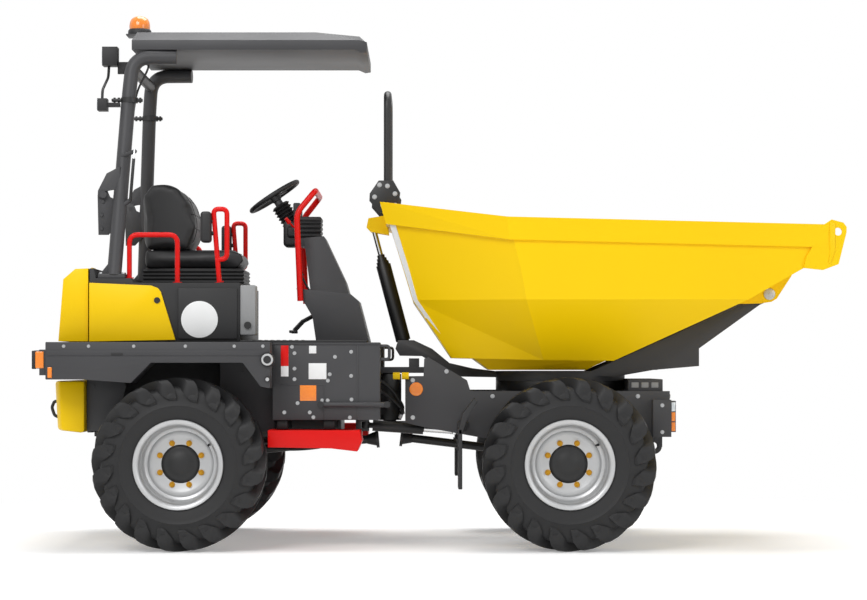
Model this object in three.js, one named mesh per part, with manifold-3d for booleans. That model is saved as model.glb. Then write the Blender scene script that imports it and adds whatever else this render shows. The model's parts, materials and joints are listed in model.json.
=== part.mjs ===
// Articulated site dumper with a swivelling, front-tipping skip.
// Millimetres, +X forward (towards the skip), +Y to the operator's left, +Z up.
// The origin is on the ground, under the middle of the whole machine.
import * as THREE from 'three';
import { ConvexGeometry } from 'three/addons/geometries/ConvexGeometry.js';
import { mergeVertices } from 'three/addons/utils/BufferGeometryUtils.js';
import Module from 'manifold-3d';

const wasm = await Module();
wasm.setup();

// ---------------------------------------------------------------- driving dimensions
const seatGap = 0.3;            // between two pieces that are bolted together
const pinGap = 0.5;             // radial, between a pin or shaft and its bore

const wheel = { radius: 474, discFace: 800, spindle: 36 };    // tyre tread, wheel disc (Y), shaft
const rearAxleX = -1420;
const frontAxleX = 705;
const axleZ = wheel.radius;

const joint = { x: -287, z: 830, steerPin: 38 };      // articulation: steering axis and rolling axis
const rail = { y: 280, width: 70, low: 610, high: 760, rear: -1962, front: -560 };

const box = { outer: 740, inner: 500, rear: -921, front: -329, low: 713 };
const wing = { outer: 950, inner: 700, sheet: 8 };
const cover = { front: -1101, wall: 6 };

const console_ = { low: 300, high: 220 };
const steering = { x: -957, z: 1996, radius: 170, tilt: 32.8, rim: 14 };
const seat = { half: 245 };
const ropsTube = 40;
const canopy = { rear: -1729, front: -408, half: 480, low: 2788, crease: 2842, high: 2892 };

const turntable = { x: frontAxleX, radius: 375, split: 925, high: 982 };
const tipPin = { x: 1870, z: 1418, radius: 32 };
const arm = { y: 320, plate: 24 };
const skipWall = 8;
const tip = { x: -196, z: 1115, eyeX: -386, eyeZ: 1830 };
const steerRam = { y: -250, rearX: -420, rearZ: 674, frontX: 90, frontZ: 639, radius: 32 };

// ---------------------------------------------------------------- materials
const paint = (color, roughness = 0.45, metalness = 0.1) =>
  new THREE.MeshStandardMaterial({ color, roughness, metalness });
const yellow = paint(0xffd500);
const grey = paint(0x4b4b4d, 0.55);
const black = paint(0x161617, 0.5);
const red = paint(0xe01a14);
const rubber = paint(0x222224, 0.85, 0);
const leather = paint(0x1b1b1c, 0.7, 0);
const amber = paint(0xff9c10, 0.3, 0);
const silver = paint(0xb9babb, 0.4, 0.6);
const lightGrey = paint(0x969696, 0.5);
const chrome = paint(0xdadada, 0.15, 1);

// ---------------------------------------------------------------- shapes
const degrees = Math.PI / 180;

// A closed mesh as a solid that can be joined and cut.
function solid(geometry) {
  const plain = geometry.clone();
  for (const name of Object.keys(plain.attributes)) {
    if (name !== 'position') plain.deleteAttribute(name);
  }
  const merged = mergeVertices(plain, 1e-4);
  return new wasm.Manifold(new wasm.Mesh({
    numProp: 3,
    vertProperties: new Float32Array(merged.attributes.position.array),
    triVerts: new Uint32Array(merged.index.array),
  }));
}

function geometryOf(manifold) {
  const mesh = manifold.getMesh();
  const geometry = new THREE.BufferGeometry();
  geometry.setAttribute('position', new THREE.BufferAttribute(mesh.vertProperties, 3));
  geometry.setIndex(new THREE.BufferAttribute(mesh.triVerts, 1));
  return geometry;
}

const join = (...shapes) => geometryOf(shapes.map(solid).reduce((a, b) => a.add(b)));
const cut = (shape, ...tools) =>
  geometryOf(tools.map(solid).reduce((a, b) => a.subtract(b), solid(shape)));

function block(x0, x1, y0, y1, z0, z1) {
  return new THREE.BoxGeometry(x1 - x0, y1 - y0, z1 - z0)
    .translate((x0 + x1) / 2, (y0 + y1) / 2, (z0 + z1) / 2);
}

// An outline drawn in X and Z, given its thickness along Y.
function sideways(points, y0, y1) {
  const shape = new THREE.Shape(points.map(([u, v]) => new THREE.Vector2(u, v)));
  return new THREE.ExtrudeGeometry(shape, { depth: y1 - y0, bevelEnabled: false })
    .rotateX(Math.PI / 2)
    .translate(0, y1, 0);
}

const hull = (points) => new ConvexGeometry(points.map((p) => new THREE.Vector3(...p)));
const bothSides = (points) => points.flatMap(([x, y, z]) => [[x, y, z], [x, -y, z]]);

// A round bar between two points.
function bar(from, to, radius, sides = 12) {
  const a = new THREE.Vector3(...from);
  const b = new THREE.Vector3(...to);
  const turn = new THREE.Quaternion()
    .setFromUnitVectors(new THREE.Vector3(0, 1, 0), b.clone().sub(a).normalize());
  return new THREE.CylinderGeometry(radius, radius, a.distanceTo(b), sides)
    .applyQuaternion(turn)
    .translate(...a.add(b).multiplyScalar(0.5).toArray());
}

// A route of straight runs with round corners.
function route(points, corner) {
  const at = points.map((p) => new THREE.Vector3(...p));
  const path = new THREE.CurvePath();
  let start = at[0];
  for (let i = 1; i < at.length - 1; i += 1) {
    const back = at[i - 1].clone().sub(at[i]).normalize();
    const on = at[i + 1].clone().sub(at[i]).normalize();
    const enter = at[i].clone().addScaledVector(back, corner);
    const leave = at[i].clone().addScaledVector(on, corner);
    path.add(new THREE.LineCurve3(start, enter));
    path.add(new THREE.QuadraticBezierCurve3(enter, at[i], leave));
    start = leave;
  }
  path.add(new THREE.LineCurve3(start, at.at(-1)));
  return path;
}

// A bent tube, as rings of points swept along its route.
function tube(points, radius, corner, sides = 8, turns = 4) {
  const path = route(points, corner);
  const stations = [path.curves[0].getPoint(0)];
  const along = [path.curves[0].getTangent(0)];
  for (const curve of path.curves) {
    const steps = curve instanceof THREE.LineCurve3 ? 1 : turns;
    for (let i = 1; i <= steps; i += 1) {
      stations.push(curve.getPoint(i / steps));
      along.push(curve.getTangent(i / steps));
    }
  }
  let across = new THREE.Vector3(0, 1, 0);
  if (Math.abs(along[0].y) > 0.8) across = new THREE.Vector3(1, 0, 0);
  const rings = stations.map((centre, i) => {
    const normal = across.clone().addScaledVector(along[i], -across.dot(along[i])).normalize();
    across = normal;
    const side = along[i].clone().cross(normal);
    return Array.from({ length: sides }, (_, n) => {
      const angle = (2 * Math.PI * n) / sides;
      return centre.clone()
        .addScaledVector(normal, radius * Math.cos(angle))
        .addScaledVector(side, radius * Math.sin(angle))
        .toArray();
    });
  });
  return skin(rings);
}

// A closed body through rings that have the same number of points, with flat ends.
function skin(rings) {
  const count = rings[0].length;
  const faces = [];
  for (let r = 0; r < rings.length - 1; r += 1) {
    for (let i = 0; i < count; i += 1) {
      const j = (i + 1) % count;
      const [a, b] = [r * count + i, r * count + j];
      const [c, d] = [a + count, b + count];
      faces.push(a, b, d, a, d, c);
    }
  }
  const last = (rings.length - 1) * count;
  for (let i = 1; i < count - 1; i += 1) {
    faces.push(0, i + 1, i, last, last + i, last + i + 1);
  }
  const geometry = new THREE.BufferGeometry();
  geometry.setAttribute('position', new THREE.Float32BufferAttribute(rings.flat(2), 3));
  geometry.setIndex(faces);
  return outward(geometry);
}

// Turns every face round if the body is inside out.
function outward(geometry) {
  const at = geometry.attributes.position;
  const { array } = geometry.index;
  const [a, b, c] = [new THREE.Vector3(), new THREE.Vector3(), new THREE.Vector3()];
  let volume = 0;
  for (let i = 0; i < array.length; i += 3) {
    a.fromBufferAttribute(at, array[i]);
    b.fromBufferAttribute(at, array[i + 1]);
    c.fromBufferAttribute(at, array[i + 2]);
    volume += a.dot(b.cross(c));
  }
  if (volume < 0) geometry.setIndex([...array].reverse());
  return geometry;
}

// A turned body about the Y direction through (x, z); the profile lists [radius, y].
function turned(profile, x, z, count = 24) {
  const points = profile.map(([r, y]) => new THREE.Vector2(r, y));
  return outward(new THREE.LatheGeometry(points, count)).translate(x, 0, z);
}

const group = new THREE.Group();
group.name = 'site_dumper';

function add(name, geometry, material) {
  const indexed = geometry.index ? geometry : mergeVertices(geometry);
  const mesh = new THREE.Mesh(indexed, material);
  mesh.name = name;
  group.add(mesh);
}

const sides = [['right', -1], ['left', 1]];
const between = (a, b) => [Math.min(a, b), Math.max(a, b)];

// ---------------------------------------------------------------- rear frame
const coverTop = 1470;          // under the seat
const coverShelf = 1495;        // under the roll bar feet
const bodyLine = 1141;          // top of the wings and tank boxes
const axleBeam = 65;
const outriggers = [[-900, -840], [-640, -580]];

function rearChassis() {
  const [inner, outer] = [rail.y - rail.width / 2, rail.y + rail.width / 2];
  const parts = [];
  for (const [, s] of sides) {
    const [y0, y1] = between(s * inner, s * outer);
    parts.push(block(rail.rear, rail.front, y0, y1, rail.low, rail.high));
    for (const x of [-1930, -1170]) {
      parts.push(block(x, x + 50, y0, y1, rail.high - 1, bodyLine));
    }
    parts.push(block(rearAxleX - 60, rearAxleX + 60, y0, y1, axleZ + axleBeam + seatGap, rail.low + 1));
  }
  parts.push(block(rail.rear, -1930, -600, 600, 640, 1080));
  for (const [x0, x1] of outriggers) parts.push(block(x0, x1, -700, 700, 660, box.low - seatGap));
  const nose = cut(
    block(-600, -482, -130, 130, 700, 960),
    bar([-560, 0, joint.z], [-480, 0, joint.z], joint.steerPin + pinGap, 24),
  );
  parts.push(block(-600, rail.front, -outer, outer, rail.low, 720), nose);
  return join(...parts);
}

// Beam, differential and a drum and spindle at each end, along Y.
function axle(x) {
  const end = wheel.discFace - 60;
  return join(
    bar([x, -end, axleZ], [x, end, axleZ], axleBeam, 14),
    bar([x, -640, axleZ], [x, -end, axleZ], 95, 16),
    bar([x, 640, axleZ], [x, end, axleZ], 95, 16),
    bar([x, -794, axleZ], [x, 794, axleZ], wheel.spindle, 20),
    bar([x, -150, axleZ], [x, 150, axleZ], 122, 16),
  );
}

function wingShape(s) {
  const arch = [[-1070, 1028], [-974, 899], [box.rear - seatGap, 889]];
  const skirt = sideways(
    [[-2140, 937], [-2140, bodyLine], [box.rear - seatGap, bodyLine], ...arch.reverse(),
      [-1569, 1028], [-1676, 918], [-1940, 937]],
    ...between(s * wing.inner, s * wing.outer),
  );
  const pocket = block(-2100, -1720, ...between(s * 650, s * (wing.outer - wing.sheet)), 800, 1080);
  return cut(skirt, pocket);
}

function rearBumper() {
  const [x0, x1] = [-2175, -2140 - seatGap];
  const parts = [block(x0, x1, -935, 935, 960, 1100)];
  for (const [, s] of sides) {
    parts.push(block(-2217, x0 + 1, ...between(s * 755, s * 845), 996, 1096));
    parts.push(block(x1 - 1, rail.rear - seatGap, ...between(s * 245, s * 315), 1000, 1060));
  }
  return join(...parts);
}

function counterweight() {
  return hull(bothSides([
    [rail.rear - seatGap, 700, 928], [rail.rear - seatGap, 700, 640],
    [-2105, 700, 928], [-2133, 640, 928], [-2090, 700, 655], [-2118, 640, 655],
  ]));
}

const hoodHinge = { x: -1935, z: 1553, radius: 6 };

function rearHood() {
  const outer = [[-2102, 1147], [-2075, 1489], [-2009, 1546], [-1938, 1549], [-1938, 1147]];
  const inner = [[-2096, 1100], [-2069, 1486], [-2006, 1540], [-1900, 1543], [-1900, 1100]];
  const shell = cut(sideways(outer, -735, 735), sideways(inner, -729, 729));
  const knuckles = sides.map(([, s]) => bar([hoodHinge.x, s * 600, hoodHinge.z], [hoodHinge.x, s * 480,
    hoodHinge.z], hoodHinge.radius, 12));
  return join(shell, ...knuckles);
}

function engineCover() {
  const low = bodyLine + seatGap;
  const front = cover.front - seatGap;
  const outer = [[-1930, low], [-1930, 1549], [-1905, 1549], [-1895, coverShelf],
    [-1700, coverShelf], [-1690, coverTop], [front, coverTop], [front, low]];
  const w = cover.wall;
  const inner = [[-1930 + w, low - 50], [-1930 + w, 1480], [-1704, coverShelf - w - 8],
    [-1696, coverTop - w], [front - w, coverTop - w], [front - w, low - 50]];
  return cut(sideways(outer, -735, 735), sideways(inner, -735 + w, 735 - w));
}

function sidePanel(s) {
  const shape = [[-1930, 1145], [-1930, 1469], [-1590, 1454], [-1552, 1440], [-1536, 1420], [-1455, 1154]];
  return sideways(shape, ...between(s * (735 + seatGap), s * 755));
}

const deckLow = bodyLine + seatGap;
const deckHigh = 1153;

function tankBox(s) {
  const y = between(s * box.inner, s * box.outer);
  const grip = s * 715;
  const parts = [
    block(box.rear, box.front, ...y, box.low, bodyLine),
    tube([[box.front - 5, grip, 1122], [-278, grip, 1122], [-278, grip, 1048], [box.front - 5, grip, 1048]],
      9, 18),
  ];
  if (s < 0) parts.push(bar([-655, -753, 798], [-290, -753, 798], 14));
  return join(...parts);
}

function consoleBody() {
  const foot = deckHigh + seatGap;
  const cowl = [[-815, 1452], [-505, 1420], [-462, 1384], [-402, foot], [-702, foot], [-722, 1290]];
  const column = [[-775, 1744], [-661, 1754], [-540, 1497], [-505, 1380], [-730, 1380]];
  const [dx, dz] = [Math.sin(steering.tilt * degrees), Math.cos(steering.tilt * degrees)];
  const reach = 330;
  const top = [steering.x + 30 * dx, 0, steering.z - 30 * dz];
  const low = [steering.x + reach * dx, 0, steering.z - reach * dz];
  return join(
    sideways(cowl, -console_.low, console_.low),
    sideways(column, -console_.high, console_.high),
    block(-798, -686, -110, 110, 1700, 1868),
    bar(low, top, 24, 16),
  );
}

function consoleHoop() {
  const y = console_.low + 17 + seatGap;
  return tube([[-790, -y, 1380], [-811, -y, 1879], [-706, -y + 25, 2010],
    [-706, y - 25, 2010], [-811, y, 1879], [-790, y, 1380]], 17, 45, 10);
}

function steeringWheel() {
  const ring = new THREE.TorusGeometry(steering.radius - steering.rim, steering.rim, 8, 32);
  const hub = new THREE.CylinderGeometry(32, 30, 50, 16).rotateX(Math.PI / 2).translate(0, 0, -4.5);
  const spokes = [90, 210, 330].map((turn) =>
    new THREE.BoxGeometry(26, steering.radius - steering.rim, 10)
      .translate(0, (steering.radius - steering.rim) / 2, 0)
      .rotateZ(turn * degrees));
  return geometryOf([ring, hub, ...spokes].map(solid).reduce((a, b) => a.add(b)))
    .rotateY(-steering.tilt * degrees)
    .translate(steering.x, 0, steering.z);
}

function seatBackrest() {
  const low = 1673 + seatGap;
  return sideways([[-1440, low], [-1388, 1799], [-1440, 1960], [-1500, 2035], [-1580, 2056],
    [-1650, 2050], [-1696, 1990], [-1680, low]], -seat.half, seat.half);
}

function seatCushion() {
  return sideways([[-1690, 1570 + seatGap], [-1690, 1673], [-1180, 1673], [-1125, 1650], [-1111, 1610],
    [-1140, 1570 + seatGap]], -seat.half, seat.half);
}

function handrail(s) {
  const y = s * 680;
  return tube([[-1717, y, coverShelf + seatGap], [-1717, y, 1737], [-1451, y, 1737],
    [-1451, y, coverTop + seatGap]], 14, 50);
}

function mirrorRail(s) {
  const y = s * 680;
  const rail_ = tube([[-1219, y, coverTop + 1.5], [-1252, y, 1879], [-1177, y, 1879],
    [-1177, y, 1604], [-1240, y, 1598]], 14, 30);
  return join(rail_, block(-1325, -1250, ...between(s * 640, s * 722), 1693, 1865));
}

// The roll bar leans inward and forward on its way up.
const lean = (z) => 680 - 0.1965 * (z - 1614);
const rake = (z) => -1793 + 0.0557 * (z - 1614);
const fold = { x: -1868, z: 1963, pin: 12 };
const seam = 1958;
const crossBar = { x: -1729, z: 2684, radius: 30 };
const strut = { y: -674, lowX: -1712, lowZ: 1935, highX: -1690, highZ: 2205, radius: 9 };

function ropsLeg(s) {
  const foot = coverShelf + seatGap;
  const parts = [
    bar([rake(foot + 12), s * lean(foot + 12), foot + 12], [rake(seam), s * lean(seam), seam], ropsTube, 16),
    block(-1885, -1735, ...between(s * 640, s * 730), foot, foot + 30),
    sideways([[-1880, foot + 20], [-1800, foot + 120], [-1760, foot + 20]], ...between(s * 695, s * 707)),
    sideways([[-1900, 1720], [-1905, 1960], [-1890, 1992], [-1850, 1992], [-1835, 1950], [-1780, 1940],
      [-1780, 1720]], ...between(s * 600, s * 612)),
    bar([fold.x, s * 606, fold.z], [fold.x, s * 640, fold.z], fold.pin, 16),
  ];
  if (s < 0) {
    parts.push(bar([-1765, -640, 1900], [strut.lowX, -640, strut.lowZ], 12, 8));
    parts.push(bar([strut.lowX, -634, strut.lowZ], [strut.lowX, strut.y + strut.radius + seatGap,
      strut.lowZ], 8, 8));
  }
  return join(...parts);
}

function ropsHoop() {
  const parts = [];
  const start = seam + seatGap;
  const underCanopy = canopy.low - ropsTube + 0.5;
  for (const [, s] of sides) {
    parts.push(tube([[rake(start), s * lean(start), start], [-1742, s * 500, 2530],
      [-1722, s * 460, underCanopy], [-1480, s * 445, underCanopy]], ropsTube, 105, 12, 4));
    const knuckle = cut(
      sideways([[-1900, 1950], [-1898, 1985], [-1850, 2080], [-1775, 2120], [-1775, 1995],
        [-1838, 1985], [-1838, 1945], [-1880, 1935]], ...between(s * 614, s * 634)),
      bar([fold.x, s * 590, fold.z], [fold.x, s * 660, fold.z], fold.pin + pinGap, 16),
    );
    parts.push(knuckle);
  }
  parts.push(bar([crossBar.x, -466, crossBar.z], [crossBar.x, 466, crossBar.z], crossBar.radius, 12));
  parts.push(bar([-1769, -600, 2180], [strut.highX, -625, strut.highZ], 12, 8));
  parts.push(bar([strut.highX, -615, strut.highZ], [strut.highX, strut.y + strut.radius + seatGap,
    strut.highZ], 8, 8));
  return join(...parts);
}

// The canopy's top carries a small shelf behind it for the beacon.
const beaconSeat = { x: -1705, y: -300, half: 70, sheet: 8 };

function canopyShape() {
  const lower = sideways([[canopy.rear, canopy.low], [canopy.rear, canopy.crease],
    [-450, canopy.crease], [canopy.front, 2830], [canopy.front, 2776], [-440, 2771], [-480, canopy.low]],
  -canopy.half, canopy.half);
  const upper = hull(bothSides([
    [canopy.rear, canopy.half, canopy.crease - 1], [canopy.rear + 25, 430, canopy.high],
    [-700, 430, canopy.high], [-450, 430, 2868], [-412, canopy.half, canopy.crease - 14],
    [-450, canopy.half, canopy.crease - 1],
  ]));
  const { x, y, half, sheet } = beaconSeat;
  const shelf = block(x - half, x + half, y - half, y + half, canopy.high - sheet, canopy.high);
  return join(lower, upper, shelf);
}

function beacon() {
  const { x, y } = beaconSeat;
  const foot = canopy.high + seatGap;
  return join(
    new THREE.CylinderGeometry(67, 67, 34, 24).rotateX(Math.PI / 2).translate(x, y, foot + 17),
    new THREE.CylinderGeometry(50, 59, 76, 24).rotateX(Math.PI / 2).translate(x, y, foot + 71),
  );
}

function workLights() {
  return join(
    block(-1914, -1828, -345, -255, 2716, 2823),
    block(-1830, crossBar.x - crossBar.radius - seatGap, -310, -290, 2672, 2740),
    block(-1913, -1859, -555, -475, 2439, 2507),
    block(-1860, -1790, -540, -490, 2462, 2484),
    tube([[-1880, -300, 2720], [-1880, -330, 2650], [-1890, -500, 2560], [-1890, -515, 2500]], 8, 25),
  );
}

const strutLength = Math.hypot(strut.highX - strut.lowX, strut.highZ - strut.lowZ);
const alongStrut = (d) => [
  strut.lowX + ((strut.highX - strut.lowX) * d) / strutLength, strut.y,
  strut.lowZ + ((strut.highZ - strut.lowZ) * d) / strutLength];

function strutTube() {
  return cut(
    bar(alongStrut(-9), alongStrut(225), strut.radius, 12),
    bar(alongStrut(20), alongStrut(230), 5 + pinGap, 12),
  );
}

const strutRod = () => bar(alongStrut(24), alongStrut(strutLength + 8), 5, 12);

function step(s) {
  const tread = 660 - seatGap;
  const shape = [[-940, 566], [-940, tread], [-436, tread], [-425, 600], [-450, 543], [-593, 560]];
  return cut(
    sideways(shape, ...between(s * 560, s * 860)),
    block(-900, -480, ...between(s * 600, s * 845), 610, 700),
  );
}

add('rear_chassis', rearChassis(), black);
add('rear_axle', axle(rearAxleX), black);
add('engine_block', block(-1850, -1250, -244.7, 244.7, 640, 1100), grey);
add('rear_bumper', rearBumper(), grey);
add('counterweight', counterweight(), yellow);
add('rear_hood', rearHood(), yellow);
add('engine_cover', engineCover(), black);
add('document_box', block(cover.front, -1014, -735, -600, 1181, 1457), lightGrey);
add('operator_deck', block(cover.front, -402, -740, 740, deckLow, deckHigh), black);
add('console', consoleBody(), grey);
add('console_hoop', consoleHoop(), red);
add('steering_wheel', steeringWheel(), black);
add('seat_base', block(-1685, -1127, -220, 220, coverTop + seatGap, 1570), black);
add('seat_cushion', seatCushion(), leather);
add('seat_backrest', seatBackrest(), leather);
add('rops_hoop', ropsHoop(), grey);
add('canopy', canopyShape(), grey);
add('beacon', beacon(), amber);
add('work_lights', workLights(), black);
add('gas_strut_tube', strutTube(), black);
add('gas_strut_rod', strutRod(), chrome);
for (const [side, s] of sides) {
  add(`wing_${side}`, wingShape(s), grey);
  add(`side_panel_${side}`, sidePanel(s), yellow);
  add(`tank_box_${side}`, tankBox(s), grey);
  add(`handrail_${side}`, handrail(s), red);
  add(`mirror_rail_${side}`, mirrorRail(s), red);
  add(`rops_leg_${side}`, ropsLeg(s), grey);
  add(`step_${side}`, step(s), red);
}

// ---------------------------------------------------------------- articulation
const eyeHalf = 18;             // half height of the steering ram's eyes
const ramPin = 14;

function centreYoke() {
  const eye = cut(
    join(
      bar([joint.x, 0, 697], [joint.x, 0, 964], 68, 24),
      block(-460, joint.x - 20, -60, 60, 730, 930),
      bar([-476, 0, joint.z], [-440, 0, joint.z], 118, 24),
      bar([-556, 0, joint.z], [-470, 0, joint.z], joint.steerPin, 24),
      block(-476, -446, -285, 40, 620, 780),
    ),
    bar([joint.x, 0, 690], [joint.x, 0, 970], joint.steerPin + pinGap, 24),
  );
  const z = steerRam.rearZ;
  return join(
    eye,
    block(-450, -400, -275, -225, z + eyeHalf + 1, z + eyeHalf + 16),
    block(-450, -400, -275, -225, z - eyeHalf - 16, z - eyeHalf - 1),
    bar([steerRam.rearX, steerRam.y, z - eyeHalf - 10],
      [steerRam.rearX, steerRam.y, z + eyeHalf + 10], ramPin, 16),
  );
}

const ramLength = Math.hypot(steerRam.frontX - steerRam.rearX, steerRam.frontZ - steerRam.rearZ);
const alongRam = (d) => [
  steerRam.rearX + ((steerRam.frontX - steerRam.rearX) * d) / ramLength, steerRam.y,
  steerRam.rearZ + ((steerRam.frontZ - steerRam.rearZ) * d) / ramLength];

function steeringBarrel() {
  const [x, y, z] = [steerRam.rearX, steerRam.y, steerRam.rearZ];
  return cut(
    join(
      bar([x, y, z - eyeHalf], [x, y, z + eyeHalf], 24, 20),
      bar(alongRam(40), alongRam(330), steerRam.radius, 20),
      bar(alongRam(20), alongRam(60), 16, 12),
    ),
    bar([x, y, z - 40], [x, y, z + 40], ramPin + pinGap, 16),
    bar(alongRam(60), alongRam(340), 18 + pinGap, 20),
  );
}

function steeringRod() {
  const [x, y, z] = [steerRam.frontX, steerRam.y, steerRam.frontZ];
  return cut(
    join(
      bar(alongRam(180), alongRam(ramLength - 15), 18, 20),
      bar([x, y, z - eyeHalf], [x, y, z + eyeHalf], 26, 20),
    ),
    bar([x, y, z - 40], [x, y, z + 40], ramPin + 2, 16),
  );
}

// ---------------------------------------------------------------- front frame
const frame = { y: 420, plate: 24, top: 869 };

function frontChassis() {
  const side = [[-193, 690], [-193, 949], [-90, 950], [-86, 1052], [-62, 1060], [156, 930], [175, frame.top],
    [1300, frame.top], [1300, 613], [250, 604], [-60, 660]];
  const inner = frame.y - frame.plate;
  const parts = [
    block(1270, 1300, -inner - 6, inner + 6, 613, frame.top - 4),
    block(380, 1030, -inner - 1, inner + 1, frame.top - 24, frame.top),
    block(-60, -30, -inner - 1, inner + 1, 720, 940),
    block(joint.x - 50, -40, -75, 75, 655, 690),
    block(joint.x - 50, -40, -75, 75, 970, 1005),
    block(-60, -30, -75, 75, 655, 1005),
    bar([joint.x, 0, 660], [joint.x, 0, 1000], joint.steerPin, 24),
    block(-175, -115, -42, 42, 1000, 1055),
  ];
  for (const [, s] of sides) {
    parts.push(sideways(side, ...between(s * inner, s * frame.y)));
    parts.push(block(1197, 1299, ...between(s * (frame.y - 1), s * 520), 613, 821));
    parts.push(block(1298, 1325, ...between(s * 430, s * 510), 640, 815));
    parts.push(block(frontAxleX - 60, frontAxleX + 60, ...between(s * inner, s * frame.y),
      axleZ + axleBeam + seatGap, 620));
  }
  const z = steerRam.frontZ;
  const [x0, x1] = [steerRam.frontX - 30, steerRam.frontX + 60];
  parts.push(block(x0, x1, -inner - 1, -215, z + 42, z + 56));
  const towing = cut(
    join(block(1200, 1296, -30, 30, 540, 640), bar([1248, -30, 545], [1248, 30, 545], 46, 20)),
    bar([1248, -40, 545], [1248, 40, 545], 22, 16),
  );
  parts.push(towing, block(1150, 1300, -120, 120, 613, 640));
  return join(...parts);
}

function mudguard(s) {
  const y = between(s * 690, s * 930);
  return join(
    block(104, 112, ...y, 340, 660),
    sideways([[104, 640], [112, 640], [140, 740], [200, 820], [192, 824], [132, 745]], ...y),
    block(104, 150, ...between(s * (frame.y + seatGap), s * 700), 650, 700),
  );
}

const disc = (radius, z0, z1, segments = 32) =>
  new THREE.CylinderGeometry(radius, radius, z1 - z0, segments)
    .rotateX(Math.PI / 2)
    .translate(turntable.x, 0, (z0 + z1) / 2);

const turntableRing = () => disc(turntable.radius, frame.top + seatGap, turntable.split);

const tipPivot = 20;
const cheek = { inner: 46, outer: 66 };
const lug = { inner: 340, outer: 362 };

function swivelConsole() {
  const parts = [disc(turntable.radius, turntable.split + seatGap, turntable.high)];
  const top = [[760, 960], [860, 981], [1668, 1335], [1842, 1452]];
  const under = [[1900, 1392], [1820, 1358], [1475, 1110], [1475, 1010], [1217, 988], [1000, 950]];
  const tongue = [[340, 945], [330, 981], [190, 998], [60, 1028], [-40, 1110], [-146, 1160], [-238, 1160],
    [-253, 1110], [-228, 1070], [-100, 1068], [0, 1004], [40, 950]];
  for (const [, s] of sides) {
    const y = between(s * (arm.y - arm.plate / 2), s * (arm.y + arm.plate / 2));
    parts.push(sideways([...top, ...under], ...y));
    parts.push(bar([tipPin.x, y[0], tipPin.z], [tipPin.x, y[1], tipPin.z], 44, 24));
    parts.push(bar([tipPin.x, s * arm.y, tipPin.z], [tipPin.x, s * (lug.outer + 6), tipPin.z],
      tipPin.radius - 2, 24));
    parts.push(sideways(tongue, ...between(s * cheek.inner, s * cheek.outer)));
  }
  const web = [[340, 945], [330, 981], [190, 998], [60, 1028], [0, 1060], [-20, 1025], [0, 1004], [40, 950]];
  parts.push(sideways(web, -cheek.inner - 1, cheek.inner + 1));
  parts.push(block(1217, 1240, -arm.y, arm.y, 988, 1100));
  parts.push(block(1455, 1475, -arm.y, arm.y, 1010, 1110));
  parts.push(bar([tip.x, -cheek.inner - 4, tip.z], [tip.x, cheek.inner + 4, tip.z], tipPivot, 20));
  return join(...parts);
}

// ---------------------------------------------------------------- tipping ram
const tipLength = Math.hypot(tip.eyeX - tip.x, tip.eyeZ - tip.z);
const alongTip = (d) => [
  tip.x + ((tip.eyeX - tip.x) * d) / tipLength, 0,
  tip.z + ((tip.eyeZ - tip.z) * d) / tipLength];
const stages = [
  { name: 'tip_barrel', radius: 43, start: 45, end: 500 },
  { name: 'tip_stage_1', radius: 36, start: 62, end: 520 },
  { name: 'tip_stage_2', radius: 29, start: 82, end: 540 },
  { name: 'tip_stage_3', radius: 22, start: 102, end: 560 },
  { name: 'tip_rod', radius: 15, start: 122, end: 725 },
];

function tipStage(index) {
  const { radius, start, end } = stages[index];
  let shape = bar(alongTip(start), alongTip(end), radius, 20);
  const next = stages[index + 1];
  if (next) {
    shape = cut(shape, bar(alongTip(next.start - 2), alongTip(end + 5), next.radius + pinGap, 20));
  }
  if (index === 0) {
    const half = cheek.inner - 1;
    shape = cut(
      join(
        shape,
        bar([tip.x, -half, tip.z], [tip.x, half, tip.z], 38, 20),
        bar(alongTip(20), alongTip(58), 34, 16),
      ),
      bar([tip.x, -60, tip.z], [tip.x, 60, tip.z], tipPivot + pinGap, 20),
    );
  }
  if (!next) shape = join(shape, bar([tip.eyeX, -20, tip.eyeZ], [tip.eyeX, 20, tip.eyeZ], 26, 20));
  return shape;
}

// ---------------------------------------------------------------- skip
// Each level lists a rear, a quarter and a front corner as [x, half width, z].
const skipLevels = [
  [[70, 330, 1056], [580, 560, 1044], [973, 560, 1040]],
  [[-151, 400, 1383], [475, 830, 1375], [1690, 830, 1375]],
  [[-195, 408, 1530], [445, 838, 1540], [1990, 838, 1546]],
  [[-318, 420, 1936], [372, 842, 1827], [2120, 842, 1784]],
];
const rimDepth = 125;
const rimProud = 18;

const levelRing = (corners) => [
  ...corners, ...[...corners].reverse().map(([x, y, z]) => [x, -y, z])];

function skipInside() {
  const t = skipWall;
  const inset = skipLevels.map((level, i) => level.map(([x, y, z], corner) => [
    x + [t * 1.3, 0, -t * 1.9][corner], y - t * 1.2, z + (i === 0 ? t : 0)]));
  const above = inset.at(-1).map(([x, y, z]) => [x, y, z + 60]);
  return skin([...inset, above].map(levelRing));
}

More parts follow.
